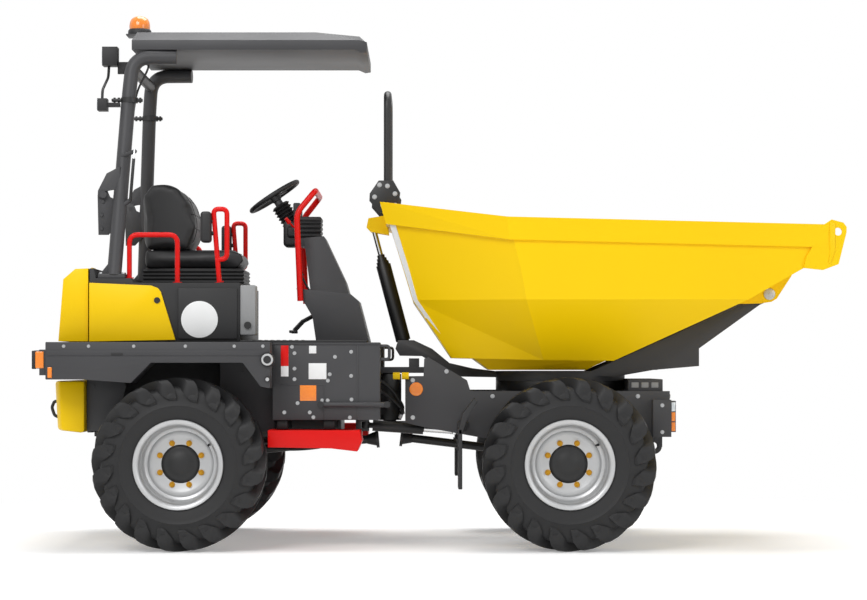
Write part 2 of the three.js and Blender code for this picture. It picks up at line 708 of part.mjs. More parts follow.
function skipShape() {
  const rimTop = skipLevels.at(-1);
  const rimLow = rimTop.map(([x, y, z], i) => [x + [34, 6, -6][i], y, z - rimDepth]);
  const swell = (level) => level.map(([x, y, z], i) => [x - [rimProud, 0, -4][i], y + rimProud, z]);
  const parts = [
    skin(skipLevels.map(levelRing)),
    skin([swell(rimLow), swell(rimTop)].map(levelRing)),
    hull(bothSides([[190, 330, 1056], [950, 380, 1045], [286, 300, 988], [831, 330, 988]])),
  ];
  for (const [, s] of sides) {
    parts.push(sideways([[1661, 1362], [1820, 1365], [1882, 1374], [1912, 1392], [1995, 1520], [1990, 1560],
      [1700, 1400]], ...between(s * lug.inner, s * lug.outer)));
    parts.push(sideways([[-290, 1770], [-300, 1885], [-410, 1868], [-421, 1815], [-395, 1788]],
      ...between(s * 26, s * 40)));
    parts.push(sideways([[-325, 1880], [-330, 2060], [-262, 2060], [-250, 1900]],
      ...between(s * 290, s * 304)));
    parts.push(bar([guard.x, s * 295, guard.z], [guard.x, s * 240, guard.z], 8, 12));
    parts.push(sideways([[2000, 1600], [1990, 1546], [2095, 1535], [2178, 1567], [2221, 1740], [2222, 1770],
      [2204, 1794], [2140, 1811], [2100, 1784]], ...between(s * 836, s * 858)));
  }
  const opening = block(2040, 2300, -828, 828, 1650, 1900);
  const keel = hull(bothSides([[200, 318, 1080], [940, 320, 1075], [292, 288, 996], [823, 320, 996]]));
  const shell = cut(join(...parts), skipInside(), keel, opening);
  const holes = [
    bar([tipPin.x, -400, tipPin.z], [tipPin.x, 400, tipPin.z], tipPin.radius - 2 + pinGap, 24),
    bar([2176, -900, 1745], [2176, 900, 1745], 22, 16),
  ];
  return cut(shell, ...holes);
}

const guard = { x: -295, z: 2034, y: 262, top: 2567, radius: 22 };

function guardHoop() {
  const { x, z, y, top, radius } = guard;
  return cut(
    tube([[x, -y, z - 30], [x, -y, top], [x, y, top], [x, y, z - 30]], radius, 90, 10),
    bar([x, -300, z], [x, -200, z], 8 + pinGap, 12),
    bar([x, 200, z], [x, 300, z], 8 + pinGap, 12),
  );
}

add('centre_yoke', centreYoke(), black);
add('steering_barrel', steeringBarrel(), black);
add('steering_rod', steeringRod(), chrome);
add('front_chassis', frontChassis(), grey);
add('front_axle', axle(frontAxleX), black);
add('turntable_ring', turntableRing(), black);
add('swivel_console', swivelConsole(), grey);
stages.forEach(({ name }, index) => add(name, tipStage(index), index === 0 ? black : chrome));
add('skip', skipShape(), yellow);
add('guard_hoop', guardHoop(), black);
for (const [side, s] of sides) add(`mudguard_${side}`, mudguard(s), grey);

// ---------------------------------------------------------------- wheels
const tyreProfile = [[230.3, 710], [250.3, 704], [320, 678], [425, 672], [462, 700], [474, 735],
  [474, 925], [462, 960], [425, 988], [320, 982], [250.3, 956], [230.3, 950]];
const rimProfile = [[0, 826], [107, 826], [107, 815], [196, 815], [214, 852], [214, 970], [246, 970],
  [246, 956.5], [230, 955], [230, 705], [246, 703.5], [246, 690], [214, 690], [214, 788], [196, 801],
  [100, 801], [100, 746], [wheel.spindle + pinGap, 746], [wheel.spindle + pinGap, 797], [0, 797]];

for (const [end, x] of [['rear', rearAxleX], ['front', frontAxleX]]) {
  for (const [side, s] of sides) {
    const facing = (profile) => {
      const placed = profile.map(([r, y]) => [r, s * y]);
      return s > 0 ? placed.reverse() : placed;
    };
    const tread = facing(tyreProfile);
    add(`${end}_tyre_${side}`, turned([...tread, tread[0]], x, axleZ), rubber);
    add(`${end}_rim_${side}`, turned(facing(rimProfile), x, axleZ), silver);
  }
}

export default group;
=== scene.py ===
import json
import math

import bmesh
import bpy
from mathutils import Matrix, Vector

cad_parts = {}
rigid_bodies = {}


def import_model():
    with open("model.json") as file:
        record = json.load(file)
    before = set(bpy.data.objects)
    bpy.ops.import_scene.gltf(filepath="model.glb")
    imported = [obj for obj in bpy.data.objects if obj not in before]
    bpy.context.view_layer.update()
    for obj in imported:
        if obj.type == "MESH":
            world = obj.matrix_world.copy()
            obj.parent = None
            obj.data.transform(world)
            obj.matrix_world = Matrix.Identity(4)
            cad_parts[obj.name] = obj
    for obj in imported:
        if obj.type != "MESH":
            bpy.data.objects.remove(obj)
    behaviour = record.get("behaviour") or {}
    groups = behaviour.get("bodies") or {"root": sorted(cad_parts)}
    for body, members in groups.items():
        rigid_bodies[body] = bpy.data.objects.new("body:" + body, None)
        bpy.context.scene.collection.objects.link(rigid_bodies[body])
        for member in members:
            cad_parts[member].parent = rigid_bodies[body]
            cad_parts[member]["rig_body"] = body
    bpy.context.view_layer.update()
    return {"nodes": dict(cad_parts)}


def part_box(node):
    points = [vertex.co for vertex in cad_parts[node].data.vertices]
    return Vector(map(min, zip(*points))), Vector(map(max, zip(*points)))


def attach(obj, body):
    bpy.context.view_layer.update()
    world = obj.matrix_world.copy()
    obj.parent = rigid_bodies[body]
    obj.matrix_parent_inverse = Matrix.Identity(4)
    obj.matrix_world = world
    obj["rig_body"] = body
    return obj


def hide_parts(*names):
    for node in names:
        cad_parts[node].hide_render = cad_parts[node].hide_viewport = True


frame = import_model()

print("frame loaded")

# small helpers


def linearColour(hexText):
    # sRGB hex to linear light
    parts = [int(hexText[i:i + 2], 16) / 255 for i in (0, 2, 4)]
    return [p / 12.92 if p <= 0.04045 else ((p + 0.055) / 1.055) ** 2.4 for p in parts] + [1.0]


def addNode(tree, kind, settings=None, links=None):
    node = tree.nodes.new(kind)
    for name, value in (settings or {}).items():
        if isinstance(name, str) and hasattr(node, name):
            setattr(node, name, value)
        else:
            node.inputs[name].default_value = value
    for name, socket in (links or {}).items():
        tree.links.new(socket, node.inputs[name])
    return node


# what every finish is made of: base colour, a slightly different second colour in soft clouds,
# a roughness range and a bump whose grain is a real size in millimetres
finishes = {
    # two-pack machine enamel, sprayed: glossy with a faint orange peel
    "yellowSprayEnamel": {"colour": "FFD500", "second": "FACC00", "cloud": 900, "rough": (0.34, 0.46),
                          "grain": 9, "bump": 0.05, "specular": 0.22, "slot": "yellow_paint"},
    # powder coat on sheet steel: satin, with the fine texture of baked powder
    "greyPowderCoat": {"colour": "464648", "second": "3D3D3F", "cloud": 500, "rough": (0.42, 0.56),
                       "grain": 5, "bump": 0.09, "specular": 0.32, "slot": "dark_grey_paint"},
    # chassis enamel, brushed and sprayed black
    "blackChassisEnamel": {"colour": "171718", "second": "0F0F10", "cloud": 300, "rough": (0.36, 0.52),
                           "grain": 6, "bump": 0.08, "slot": "black_paint"},
    # cast engine casing under grey primer, sand cast: coarse
    "greyCastIron": {"colour": "3C3D3E", "second": "2C2C2D", "cloud": 160, "rough": (0.6, 0.75),
                     "grain": 4, "bump": 0.3, "slot": "engine_grey"},
    # safety red powder coat on tube and sheet
    "redPowderCoat": {"colour": "E6100B", "second": "D60B08", "cloud": 400, "rough": (0.3, 0.4),
                      "grain": 5, "bump": 0.06, "specular": 0.25, "slot": "red_paint"},
    # injection moulded polypropylene with a spark-eroded grain
    "blackMouldedPlastic": {"colour": "131314", "second": "1C1C1E", "cloud": 80, "rough": (0.5, 0.62),
                            "grain": 2.5, "bump": 0.16, "slot": "black_plastic"},
    "lightGreyMouldedPlastic": {"colour": "98999A", "second": "8E8F90", "cloud": 120, "rough": (0.48, 0.6),
                                "grain": 2.5, "bump": 0.12, "slot": "light_grey_plastic"},
    # vulcanised tyre rubber: dull, a little dusty in the clouds
    "vulcanisedTyreRubber": {"colour": "1B1B1C", "second": "262627", "cloud": 140, "rough": (0.46, 0.66),
                             "grain": 5, "bump": 0.16, "specular": 0.35, "slot": "tyre"},
    # vinyl coated seat fabric, calendered: leather-like pores
    "embossedSeatVinyl": {"colour": "161617", "second": "1E1E20", "cloud": 60, "rough": (0.42, 0.58),
                          "grain": 3, "bump": 0.25, "slot": "seat_vinyl"},
    # silver rim lacquer over steel, sprayed
    "silverRimLacquer": {"colour": "C4C5C6", "second": "B6B7B8", "cloud": 200, "rough": (0.3, 0.42),
                         "grain": 4, "bump": 0.06, "coat": 0.2, "metal": 0.45, "slot": "silver_rim"},
    # hard chromed, ground piston rod: bright
    "hardChromedRod": {"colour": "D6D7D8", "second": "CBCCCD", "cloud": 30, "rough": (0.1, 0.18),
                       "grain": 2, "bump": 0.02, "metal": 1.0, "slot": "bright_rod"},
    # zinc plated fasteners, barrel plated and yellow passivated or clear
    "zincPlatedSteel": {"colour": "B9BABB", "second": "A5A6A7", "cloud": 12, "rough": (0.28, 0.42),
                        "grain": 2, "bump": 0.1, "metal": 0.9, "slot": "bright_rod"},
    "yellowPassivatedZinc": {"colour": "C9962E", "second": "A97B22", "cloud": 10, "rough": (0.3, 0.42),
                             "grain": 2, "bump": 0.1, "metal": 0.9, "slot": "silver_rim"},
    # moulded acrylic lenses
    "amberAcrylic": {"colour": "F57C04", "second": "FF9414", "cloud": 20, "rough": (0.1, 0.16),
                     "grain": 3, "bump": 0.12, "coat": 0.6, "slot": "amber_plastic"},
    # white sign foil, also used for the painted highlight along the skip's rear corners
    "whiteSignFoilAndPaintedHighlight": {"colour": "F4F5F5", "second": "ECEDED", "cloud": 60, "rough": (0.3, 0.38),
                      "grain": 3, "bump": 0.02, "coat": 0.2, "slot": "light_grey_plastic"},
    "clearLampGlass": {"colour": "DDE3E6", "second": "C9D0D4", "cloud": 10, "rough": (0.06, 0.12),
                       "grain": 3, "bump": 0.2, "coat": 0.8, "metal": 0.3, "slot": "light_grey_plastic"},
}
made = {}


def finish(name):
    if name in made:
        return made[name]
    facts = finishes[name]
    material = bpy.data.materials.new(name)
    material.use_nodes = True
    tree = material.node_tree
    shader = tree.nodes["Principled BSDF"]
    place = addNode(tree, "ShaderNodeTexCoord")
    cloud = addNode(tree, "ShaderNodeTexNoise", {"Scale": 1000 / facts["cloud"], "Detail": 4.0},
                    {"Vector": place.outputs["Object"]})
    mix = addNode(tree, "ShaderNodeMix", {"data_type": "RGBA"}, {0: cloud.outputs["Fac"]})
    mix.inputs[6].default_value = linearColour(facts["colour"])
    mix.inputs[7].default_value = linearColour(facts["second"])
    tree.links.new(mix.outputs[2], shader.inputs["Base Color"])
    low, high = facts["rough"]
    rough = addNode(tree, "ShaderNodeMapRange", {"To Min": low, "To Max": high},
                    {"Value": cloud.outputs["Fac"]})
    tree.links.new(rough.outputs[0], shader.inputs["Roughness"])
    grain = addNode(tree, "ShaderNodeTexNoise", {"Scale": 1000 / facts["grain"], "Detail": 2.0},
                    {"Vector": place.outputs["Object"]})
    bump = addNode(tree, "ShaderNodeBump", {"Strength": facts["bump"], "Distance": 0.001},
                   {"Height": grain.outputs["Fac"]})
    tree.links.new(bump.outputs["Normal"], shader.inputs["Normal"])
    shader.inputs["Metallic"].default_value = facts.get("metal", 0.0)
    shader.inputs["Specular IOR Level"].default_value = facts.get("specular", 0.5)
    shader.inputs["Coat Weight"].default_value = facts.get("coat", 0.0)
    shader.inputs["Coat Roughness"].default_value = 0.12
    made[name] = material
    return material


def settle(obj, body, finishName):
    # material and body in one go
    obj.data.materials.clear()
    obj.data.materials.append(finish(finishName))
    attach(obj, body)
    return obj


def placed(name, data):
    obj = bpy.data.objects.new(name, data)
    bpy.context.scene.collection.objects.link(obj)
    return obj


def smoothByAngle(mesh, angle=35):
    limit = math.radians(angle)
    work = bmesh.new()
    work.from_mesh(mesh)
    for face in work.faces:
        face.smooth = True
    for edge in work.edges:
        edge.smooth = len(edge.link_faces) == 2 and edge.calc_face_angle(0) < limit
    work.to_mesh(mesh)
    work.free()


def piece(name, work, body, finishName, angle=35):
    # a finished bmesh becomes an object of the machine
    bmesh.ops.recalc_face_normals(work, faces=work.faces[:])
    mesh = bpy.data.meshes.new(name)
    work.to_mesh(mesh)
    work.free()
    obj = placed(name, mesh)
    smoothByAngle(mesh, angle)
    return settle(obj, body, finishName)


def bodyOf(node):
    return frame["nodes"][node]["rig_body"]


def applied(obj):
    # the modifiers' result, kept as the mesh
    graph = bpy.context.evaluated_depsgraph_get()
    mesh = bpy.data.meshes.new_from_object(obj.evaluated_get(graph))
    obj.modifiers.clear()
    obj.data = mesh
    return obj


def refined(node, finishName, width, crisp):
    # the same solid with its flats cleaned and its edges rounded by width millimetres
    work = bmesh.new()
    work.from_mesh(frame["nodes"][node].data)
    bmesh.ops.remove_doubles(work, verts=work.verts[:], dist=1e-5)
    bmesh.ops.dissolve_limit(work, angle_limit=math.radians(0.6), verts=work.verts[:],
                             edges=work.edges[:])
    mesh = bpy.data.meshes.new(node + "_finished")
    work.to_mesh(mesh)
    work.free()
    obj = placed(node + "_finished", mesh)
    edge = obj.modifiers.new("edges", "BEVEL")
    edge.width = width / 1000
    edge.segments = 2
    edge.limit_method = "ANGLE"
    edge.angle_limit = math.radians(9 if node == "skip" else 32)
    bpy.context.view_layer.update()
    applied(obj)
    smoothByAngle(obj.data, crisp)
    settle(obj, bodyOf(node), finishName)
    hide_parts(node)
    return obj


def cylinder(work, start, end, radius, sides=24, radiusEnd=None):
    a, b = Vector(start), Vector(end)
    turn = (b - a).to_track_quat("Z", "Y").to_matrix().to_4x4()
    bmesh.ops.create_cone(work, cap_ends=True, segments=sides, radius1=radius,
                          radius2=radius if radiusEnd is None else radiusEnd, depth=(b - a).length,
                          matrix=Matrix.Translation((a + b) / 2) @ turn)


def block(work, low, high):
    low, high = Vector(low), Vector(high)
    size = high - low
    bmesh.ops.create_cube(work, size=1, matrix=Matrix.Translation((low + high) / 2)
                          @ Matrix.Diagonal((*size, 1)))


def softBlock(work, low, high, radius, segments=2):
    before = set(work.verts)
    block(work, low, high)
    new = [v for v in work.verts if v not in before]
    edges = list({e for v in new for e in v.link_edges})
    bmesh.ops.bevel(work, geom=edges, offset=radius, segments=segments, profile=0.5, affect="EDGES")


def hexBolt(work, at, outward, size=0.008):
    # hexagon head on a washer, with its face outward
    at, outward = Vector(at), Vector(outward).normalized()
    cylinder(work, at, at + outward * size * 0.22, size * 1.25, 16)
    cylinder(work, at + outward * size * 0.22, at + outward * size * 0.85, size, 6, size * 0.93)


def lathe(work, profile, centre, side=1, steps=64):
    # profile of (radius, y) in millimetres, turned about the Y direction through centre
    profile = [(r / 1000, y / 1000) for r, y in profile]
    rings = []
    for step in range(steps):
        angle = 2 * math.pi * step / steps
        rings.append([work.verts.new((centre[0] + r * math.sin(angle), centre[1] + side * y,
                                      centre[2] + r * math.cos(angle))) for r, y in profile])
    for a, b in zip(rings, rings[1:] + rings[:1]):
        for i in range(len(profile) - 1):
            work.faces.new((a[i], a[i + 1], b[i + 1], b[i]))
    bmesh.ops.remove_doubles(work, verts=work.verts[:], dist=1e-6)


def skin(work, rings):
    # a closed skin over rings of equal count, with a face at each end
    count = len(rings[0])
    for a, b in zip(rings, rings[1:]):
        for i in range(count):
            j = (i + 1) % count
            work.faces.new((a[i], a[j], b[j], b[i]))
    work.faces.new(rings[0])
    work.faces.new(list(reversed(rings[-1])))


def sweep(work, points, radius, sides=12, corner=0.0, steps=6):
    # a round tube along points, whose corners are rounded with quadratic arcs
    at = [Vector(p) for p in points]
    path = []
    if corner:
        path.append(at[0])
        for before, here, after in zip(at, at[1:], at[2:]):
            enter = here + (before - here).normalized() * corner
            leave = here + (after - here).normalized() * corner
            for i in range(steps + 1):
                t = i / steps
                path.append(enter * (1 - t) ** 2 + here * 2 * t * (1 - t) + leave * t ** 2)
        path.append(at[-1])
    else:
        path = at
    normal = None
    rings = []
    for i, centre in enumerate(path):
        along = (path[min(i + 1, len(path) - 1)] - path[max(i - 1, 0)]).normalized()
        if normal is None:
            normal = Vector((0, 1, 0)) if abs(along.y) < 0.8 else Vector((1, 0, 0))
        normal = (normal - along * normal.dot(along)).normalized()
        other = along.cross(normal)
        rings.append([work.verts.new(centre + radius * (normal * math.cos(a) + other * math.sin(a)))
                      for a in (2 * math.pi * n / sides for n in range(sides))])
    skin(work, rings)


def smoothRoute(points, count=24):
    # Catmull-Rom curve through given points
    at = [Vector(p) for p in points]
    at = [at[0] * 2 - at[1]] + at + [at[-1] * 2 - at[-2]]
    out = []
    for k in range(1, len(at) - 2):
        p0, p1, p2, p3 = at[k - 1:k + 3]
        for i in range(count):
            t = i / count
            out.append(0.5 * ((2 * p1) + (p2 - p0) * t + (2 * p0 - 5 * p1 + 4 * p2 - p3) * t ** 2
                              + (3 * p1 - p0 - 3 * p2 + p3) * t ** 3))
    return out + [at[-2]]


sides = {"right": -1, "left": 1}


def plate(work, outline, y0, y1, radius=0.0):
    # an outline in X and Z (millimetres) with its thickness along Y
    low, high = sorted((y0, y1))
    near = [work.verts.new((x / 1000, low / 1000, z / 1000)) for x, z in outline]
    far = [work.verts.new((x / 1000, high / 1000, z / 1000)) for x, z in outline]
    faces = [work.faces.new(near), work.faces.new(list(reversed(far)))]
    count = len(outline)
    for i in range(count):
        j = (i + 1) % count
        faces.append(work.faces.new((near[j], near[i], far[i], far[j])))
    if radius:
        edges = list({e for f in faces[:2] for e in f.edges})
        bmesh.ops.bevel(work, geom=edges, offset=radius / 1000, segments=2, profile=0.5, affect="EDGES")


def mm(*values):
    return tuple(v / 1000 for v in values)


def rectangle(x0, x1, z0, z1):
    return [(x0, z0), (x0, z1), (x1, z1), (x1, z0)]


def sideBolts(work, side, face, spots, size):
    # hexagon bolts at (X, Z) spots on the face at Y
    for x, z in spots:
        hexBolt(work, mm(x, side * face, z), (0, side, 0), size)


def sideBlock(work, side, xs, ys, zs, radius, segments=2):
    # a soft block given in millimetres, with Y counted outward from the middle
    low, high = sorted((side * ys[0], side * ys[1]))
    softBlock(work, mm(xs[0], low, zs[0]), mm(xs[1], high, zs[1]), radius, segments)


# camera: the viewpoint is level, square to the near side and fourteen metres off
view = {"place": (-0.070, -13.99, 1.016), "lens": 99.86, "shiftX": 0.0075, "shiftY": 0.075}
lens = bpy.data.cameras.new("view")
lens.sensor_width = 36
lens.lens = view["lens"]
lens.shift_x = view["shiftX"]
lens.shift_y = view["shiftY"]
lens.clip_end = 200
camera = placed("view", lens)
camera.location = view["place"]
camera.rotation_euler = (math.radians(90), 0, 0)
bpy.context.scene.camera = camera

# sheet work, castings and turned parts: node, finish, edge radius in millimetres
sheetWork = {
    "rear_chassis": ("blackChassisEnamel", 4), "engine_block": ("greyCastIron", 14),
    "rear_bumper": ("greyPowderCoat", 5), "counterweight": ("yellowSprayEnamel", 16),
    "rear_hood": ("yellowSprayEnamel", 2.5), "engine_cover": ("blackMouldedPlastic", 2.5),
    "document_box": ("lightGreyMouldedPlastic", 9), "operator_deck": ("blackMouldedPlastic", 3),
    "console": ("greyPowderCoat", 6), "seat_base": ("blackMouldedPlastic", 8),
    "canopy": ("greyPowderCoat", 7), "work_lights": ("blackMouldedPlastic", 7),
    "gas_strut_tube": ("blackChassisEnamel", 1), "gas_strut_rod": ("hardChromedRod", 0.5),
    "centre_yoke": ("blackChassisEnamel", 3), "steering_barrel": ("blackChassisEnamel", 1.5),
    "steering_rod": ("hardChromedRod", 1), "front_chassis": ("greyPowderCoat", 4),
    "turntable_ring": ("blackChassisEnamel", 2), "swivel_console": ("greyPowderCoat", 4),
    "tip_barrel": ("blackChassisEnamel", 2), "tip_stage_1": ("blackChassisEnamel", 1),
    "tip_stage_2": ("blackChassisEnamel", 1), "tip_stage_3": ("blackChassisEnamel", 1),
    "tip_rod": ("hardChromedRod", 1), "skip": ("yellowSprayEnamel", 3.2),
    "rear_axle": ("blackChassisEnamel", 4), "front_axle": ("blackChassisEnamel", 4),
}
for side in sides:
    sheetWork["wing_" + side] = ("greyPowderCoat", 7)
    sheetWork["side_panel_" + side] = ("yellowSprayEnamel", 3.5)
    sheetWork["tank_box_" + side] = ("greyPowderCoat", 5)
    sheetWork["step_" + side] = ("redPowderCoat", 4)
for node, (coat, edge) in sheetWork.items():
    refined(node, coat, edge, crisp=7 if node == "skip" else 31)
print("sheet work finished")

# wheels: cross-ply tyre with open chevron tread on a dished, lacquered steel rim
wheelFacts = {"middle": 830, "lugs": 20, "axleZ": 474, "centres": {"rear": -1420, "front": 705},
              "nuts": 8, "nutCircle": 122, "nutSize": 13}
tyreLine = [(231, 712), (240, 705), (262, 698), (300, 688), (318, 685), (322, 682), (328, 685), (366, 688),
            (396, 692), (412, 700), (422, 716), (428, 744), (430, 830), (428, 916), (422, 944), (412, 960),
            (396, 968), (366, 972), (328, 975), (322, 978), (318, 975), (300, 972), (262, 962), (240, 955),
            (231, 948)]
rimLine = [(0, 813), (148, 813), (152, 815.5), (178, 815.5), (182, 813), (196, 817), (206, 826), (211, 845),
           (213, 862), (209, 866), (209, 872), (213, 876), (214, 938), (211, 941), (211, 946),
           (218, 958), (226, 965), (236, 968), (243, 969.5), (246, 966), (246, 958), (236, 956),
           (229.8, 953), (229.8, 706), (246, 702), (246, 690), (214, 690), (213, 788), (196, 800), (0, 800)]
capLine = [(0, 826), (58, 826), (62, 823.5), (84, 823.5), (99, 820), (106, 813), (106, 810), (0, 810)]
# station of a lug: offset from the middle, outer and inner radius, sweep angle, half width
lugLine = [(-9, 474, 418, -1.0, 14), (30, 474, 418, 4.5, 16), (80, 473, 418, 10.0, 19),
           (120, 471, 412, 14.2, 22), (144, 464, 400, 17.0, 24), (157, 444, 382, 19.6, 24),
           (157.5, 412, 364, 22.2, 20), (146, 374, 350, 24.2, 11)]


def lug(work, cx, cz, side, half, turn):
    rings = []
    for offset, outer, inner, angle, width in lugLine:
        y = side * (wheelFacts["middle"] + half * offset)
        ring = []
        for r, w in ((inner, -width - 5), (outer, -width), (outer, width), (inner, width + 5)):
            a = math.radians(turn + angle) + w / r
            ring.append(work.verts.new(mm(cx + r * math.sin(a), y, cz + r * math.cos(a))))
        rings.append(ring)
    skin(work, rings)


for end, cx in wheelFacts["centres"].items():
    for side, s in sides.items():
        body = bodyOf(f"{end}_tyre_{side}")
        cz = wheelFacts["axleZ"]
        work = bmesh.new()
        lathe(work, tyreLine + tyreLine[:1], mm(cx, 0, cz), s, 96)
        for half in (-1, 1):
            for n in range(wheelFacts["lugs"]):
                turn = 360 / wheelFacts["lugs"] * (n + (0.5 if half > 0 else 0))
                lug(work, cx, cz, s, half, turn)
        tyre = piece(f"chevronTyre_{end}_{side}", work, body, "vulcanisedTyreRubber", 40)
        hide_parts(f"{end}_tyre_{side}")

        work = bmesh.new()
        lathe(work, rimLine, mm(cx, 0, cz), s, 96)
        rim = piece(f"dishedRim_{end}_{side}", work, body, "silverRimLacquer", 40)
        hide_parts(f"{end}_rim_{side}")

        work = bmesh.new()
        lathe(work, capLine, mm(cx, 0, cz), s, 64)
        piece(f"hubCover_{end}_{side}", work, body, "blackChassisEnamel")

        work = bmesh.new()
        for n in range(wheelFacts["nuts"]):
            a = 2 * math.pi * (n + 0.5) / wheelFacts["nuts"]
            ring = wheelFacts["nutCircle"]
            x, z = cx + ring * math.sin(a), cz + ring * math.cos(a)
            hexBolt(work, mm(x, s * 813, z), (0, s, 0), wheelFacts["nutSize"] / 1000)
            cylinder(work, mm(x, s * 820, z), mm(x, s * 832, z), 0.006, 12)
        piece(f"wheelNuts_{end}_{side}", work, body, "yellowPassivatedZinc", 30)

        work = bmesh.new()
        cylinder(work, mm(cx + 150, s * 812, cz + 100), mm(cx + 158, s * 850, cz + 105), 0.005, 12)
        cylinder(work, mm(cx + 158, s * 850, cz + 105), mm(cx + 160, s * 862, cz + 106), 0.007, 12)
        piece(f"valve_{end}_{side}", work, body, "blackMouldedPlastic", 30)
print("wheels finished")

# bent tube: the same routes as the frame, drawn round
railFacts = {"y": 680, "tube": 0.014, "foot": 0.026}
for side, s in sides.items():
    y = s * railFacts["y"]
    work = bmesh.new()
    sweep(work, [mm(-1717, y, 1495.4), mm(-1717, y, 1737), mm(-1451, y, 1737), mm(-1451, y, 1470.4)],
          railFacts["tube"], 20, 0.050, 8)
    for x, z in ((-1717, 1495.4), (-1451, 1470.4)):
        cylinder(work, mm(x, y, z), mm(x, y, z + 5), railFacts["foot"], 24)
    rail = piece(f"grabRail_{side}", work, bodyOf("handrail_" + side), "redPowderCoat", 40)
    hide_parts("handrail_" + side)

    work = bmesh.new()
    sweep(work, [mm(-1219, y, 1471.5), mm(-1252, y, 1879), mm(-1177, y, 1879), mm(-1177, y, 1604),
                 mm(-1240, y, 1598)], railFacts["tube"], 20, 0.030, 8)
    cylinder(work, mm(-1219, y, 1471.5), mm(-1220, y, 1477), railFacts["foot"], 24)
    rail = piece(f"mirrorRail_{side}", work, bodyOf("mirror_rail_" + side), "redPowderCoat", 40)
    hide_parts("mirror_rail_" + side)
    work = bmesh.new()
    sideBlock(work, s, (-1322, -1262), (640, 722), (1693, 1865), 0.018, 3)
    cylinder(work, mm(-1264, y, 1745), mm(-1239, y, 1745), 0.012, 16)
    cylinder(work, mm(-1264, y, 1812), mm(-1245, y, 1812), 0.012, 16)
    piece(f"mirrorPod_{side}", work, bodyOf("mirror_rail_" + side), "blackMouldedPlastic")


# the roll bar's legs lean back and inward from a known height
barFacts = {"level": 1614, "x": -1793, "y": 680, "back": 0.0557, "inward": 0.1965, "tube": 0.040,
            "corner": 0.105}


def barAt(z):
    rise = z - barFacts["level"]
    return barFacts["x"] + barFacts["back"] * rise, barFacts["y"] - barFacts["inward"] * rise


def onLeg(side, z):
    x, y = barAt(z)
    return mm(x, side * y, z)


work = bmesh.new()
for side, s in sides.items():
    route = [onLeg(s, 1958.3), mm(-1742, s * 500, 2530), mm(-1722, s * 460, 2748.5),
             mm(-1480, s * 445, 2748.5)]
    sweep(work, route, barFacts["tube"], 32, barFacts["corner"], 10)
    plate(work, [(-1900, 1950), (-1898, 1985), (-1850, 2080), (-1775, 2120), (-1775, 1995), (-1838, 1985),
                 (-1852, 1981), (-1868, 1984), (-1885, 1975), (-1888, 1958), (-1880, 1945)],
          s * 615, s * 633, 2)
cylinder(work, mm(-1729, -466, 2684), mm(-1729, 466, 2684), 0.030, 32)
cylinder(work, mm(-1769, -600, 2180), mm(-1690, -625, 2205), 0.012, 16)
cylinder(work, mm(-1690, -615, 2205), mm(-1690, -664, 2205), 0.008, 16)
hoop = piece("rollBar", work, bodyOf("rops_hoop"), "greyPowderCoat")
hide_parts("rops_hoop")
for side, s in sides.items():
    work = bmesh.new()
    sweep(work, [onLeg(s, 1510), onLeg(s, 1958)], barFacts["tube"], 32)
    cylinder(work, onLeg(s, 1938), onLeg(s, 1957), 0.0405, 32)
    sideBlock(work, s, (-1885, -1735), (640, 730), (1495.4, 1520), 0.004)
    plate(work, [(-1880, 1515), (-1800, 1615), (-1760, 1515)], s * 695, s * 707, 1.5)
    plate(work, [(-1898, 1740), (-1903, 1960), (-1890, 1992), (-1850, 1992), (-1835, 1950), (-1785, 1930),
                 (-1785, 1800), (-1842, 1740)], s * 600, s * 612, 2)
    sideBolts(work, s, 612, ((-1880, 1775), (-1880, 1850), (-1872, 1925)), 0.010)
    cylinder(work, mm(-1868, s * 598, 1963), mm(-1868, s * 640, 1963), 0.012, 24)
    cylinder(work, mm(-1868, s * 634.5, 1963), mm(-1868, s * 641, 1963), 0.020, 24)
    if s < 0:
        cylinder(work, mm(-1765, -640, 1900), mm(-1712, -640, 1935), 0.012, 16)
        cylinder(work, mm(-1712, -634, 1935), mm(-1712, -664, 1935), 0.008, 16)
    leg = piece(f"rollBarLeg_{side}", work, bodyOf("rops_leg_" + side), "greyPowderCoat")
    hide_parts("rops_leg_" + side)
    work = bmesh.new()
    for x in (-1872, -1748):
        for yy in (655, 715):
            hexBolt(work, mm(x, s * yy, 1520), (0, 0, 1), 0.010)
    piece(f"footBolts_{side}", work, bodyOf("rops_leg_" + side), "zincPlatedSteel", 30)

work = bmesh.new()
y = 317.3
sweep(work, [mm(-790, -y, 1380), mm(-811, -y, 1879), mm(-706, -y + 25, 2010), mm(-706, y - 25, 2010),
             mm(-811, y, 1879), mm(-790, y, 1380)], 0.017, 24, 0.045, 8)
bar = piece("consoleGuardHoop", work, bodyOf("console_hoop"), "redPowderCoat", 40)
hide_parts("console_hoop")

work = bmesh.new()
sweep(work, [mm(-295, -262, 2004), mm(-295, -262, 2567), mm(-295, 262, 2567), mm(-295, 262, 2004)],
      0.022, 24, 0.090, 10)
bar = piece("skipGuardHoop", work, bodyOf("guard_hoop"), "blackChassisEnamel", 40)
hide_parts("guard_hoop")
for side, s in sides.items():
    work = bmesh.new()
    outline = [(-340, 1884), (-398, 1950), (-396, 1992), (-345, 2066), (-262, 2066), (-222, 1996),
               (-236, 1893)]
    plate(work, outline, s * 304.2, s * 312, 2)
    plate(work, outline, s * 289.8, s * 286.4, 1)
    piece(f"guardPlate_{side}", work, "skip_body", "blackChassisEnamel")
work = bmesh.new()
for s in sides.values():
    sideBolts(work, s, 312, ((-368, 1972), (-250, 1925), (-322, 1925), (-340, 2040), (-295, 2034),
                             (-252, 1990)), 0.011)
piece("guardPlateBolts", work, "skip_body", "zincPlatedSteel", 30)
work = bmesh.new()
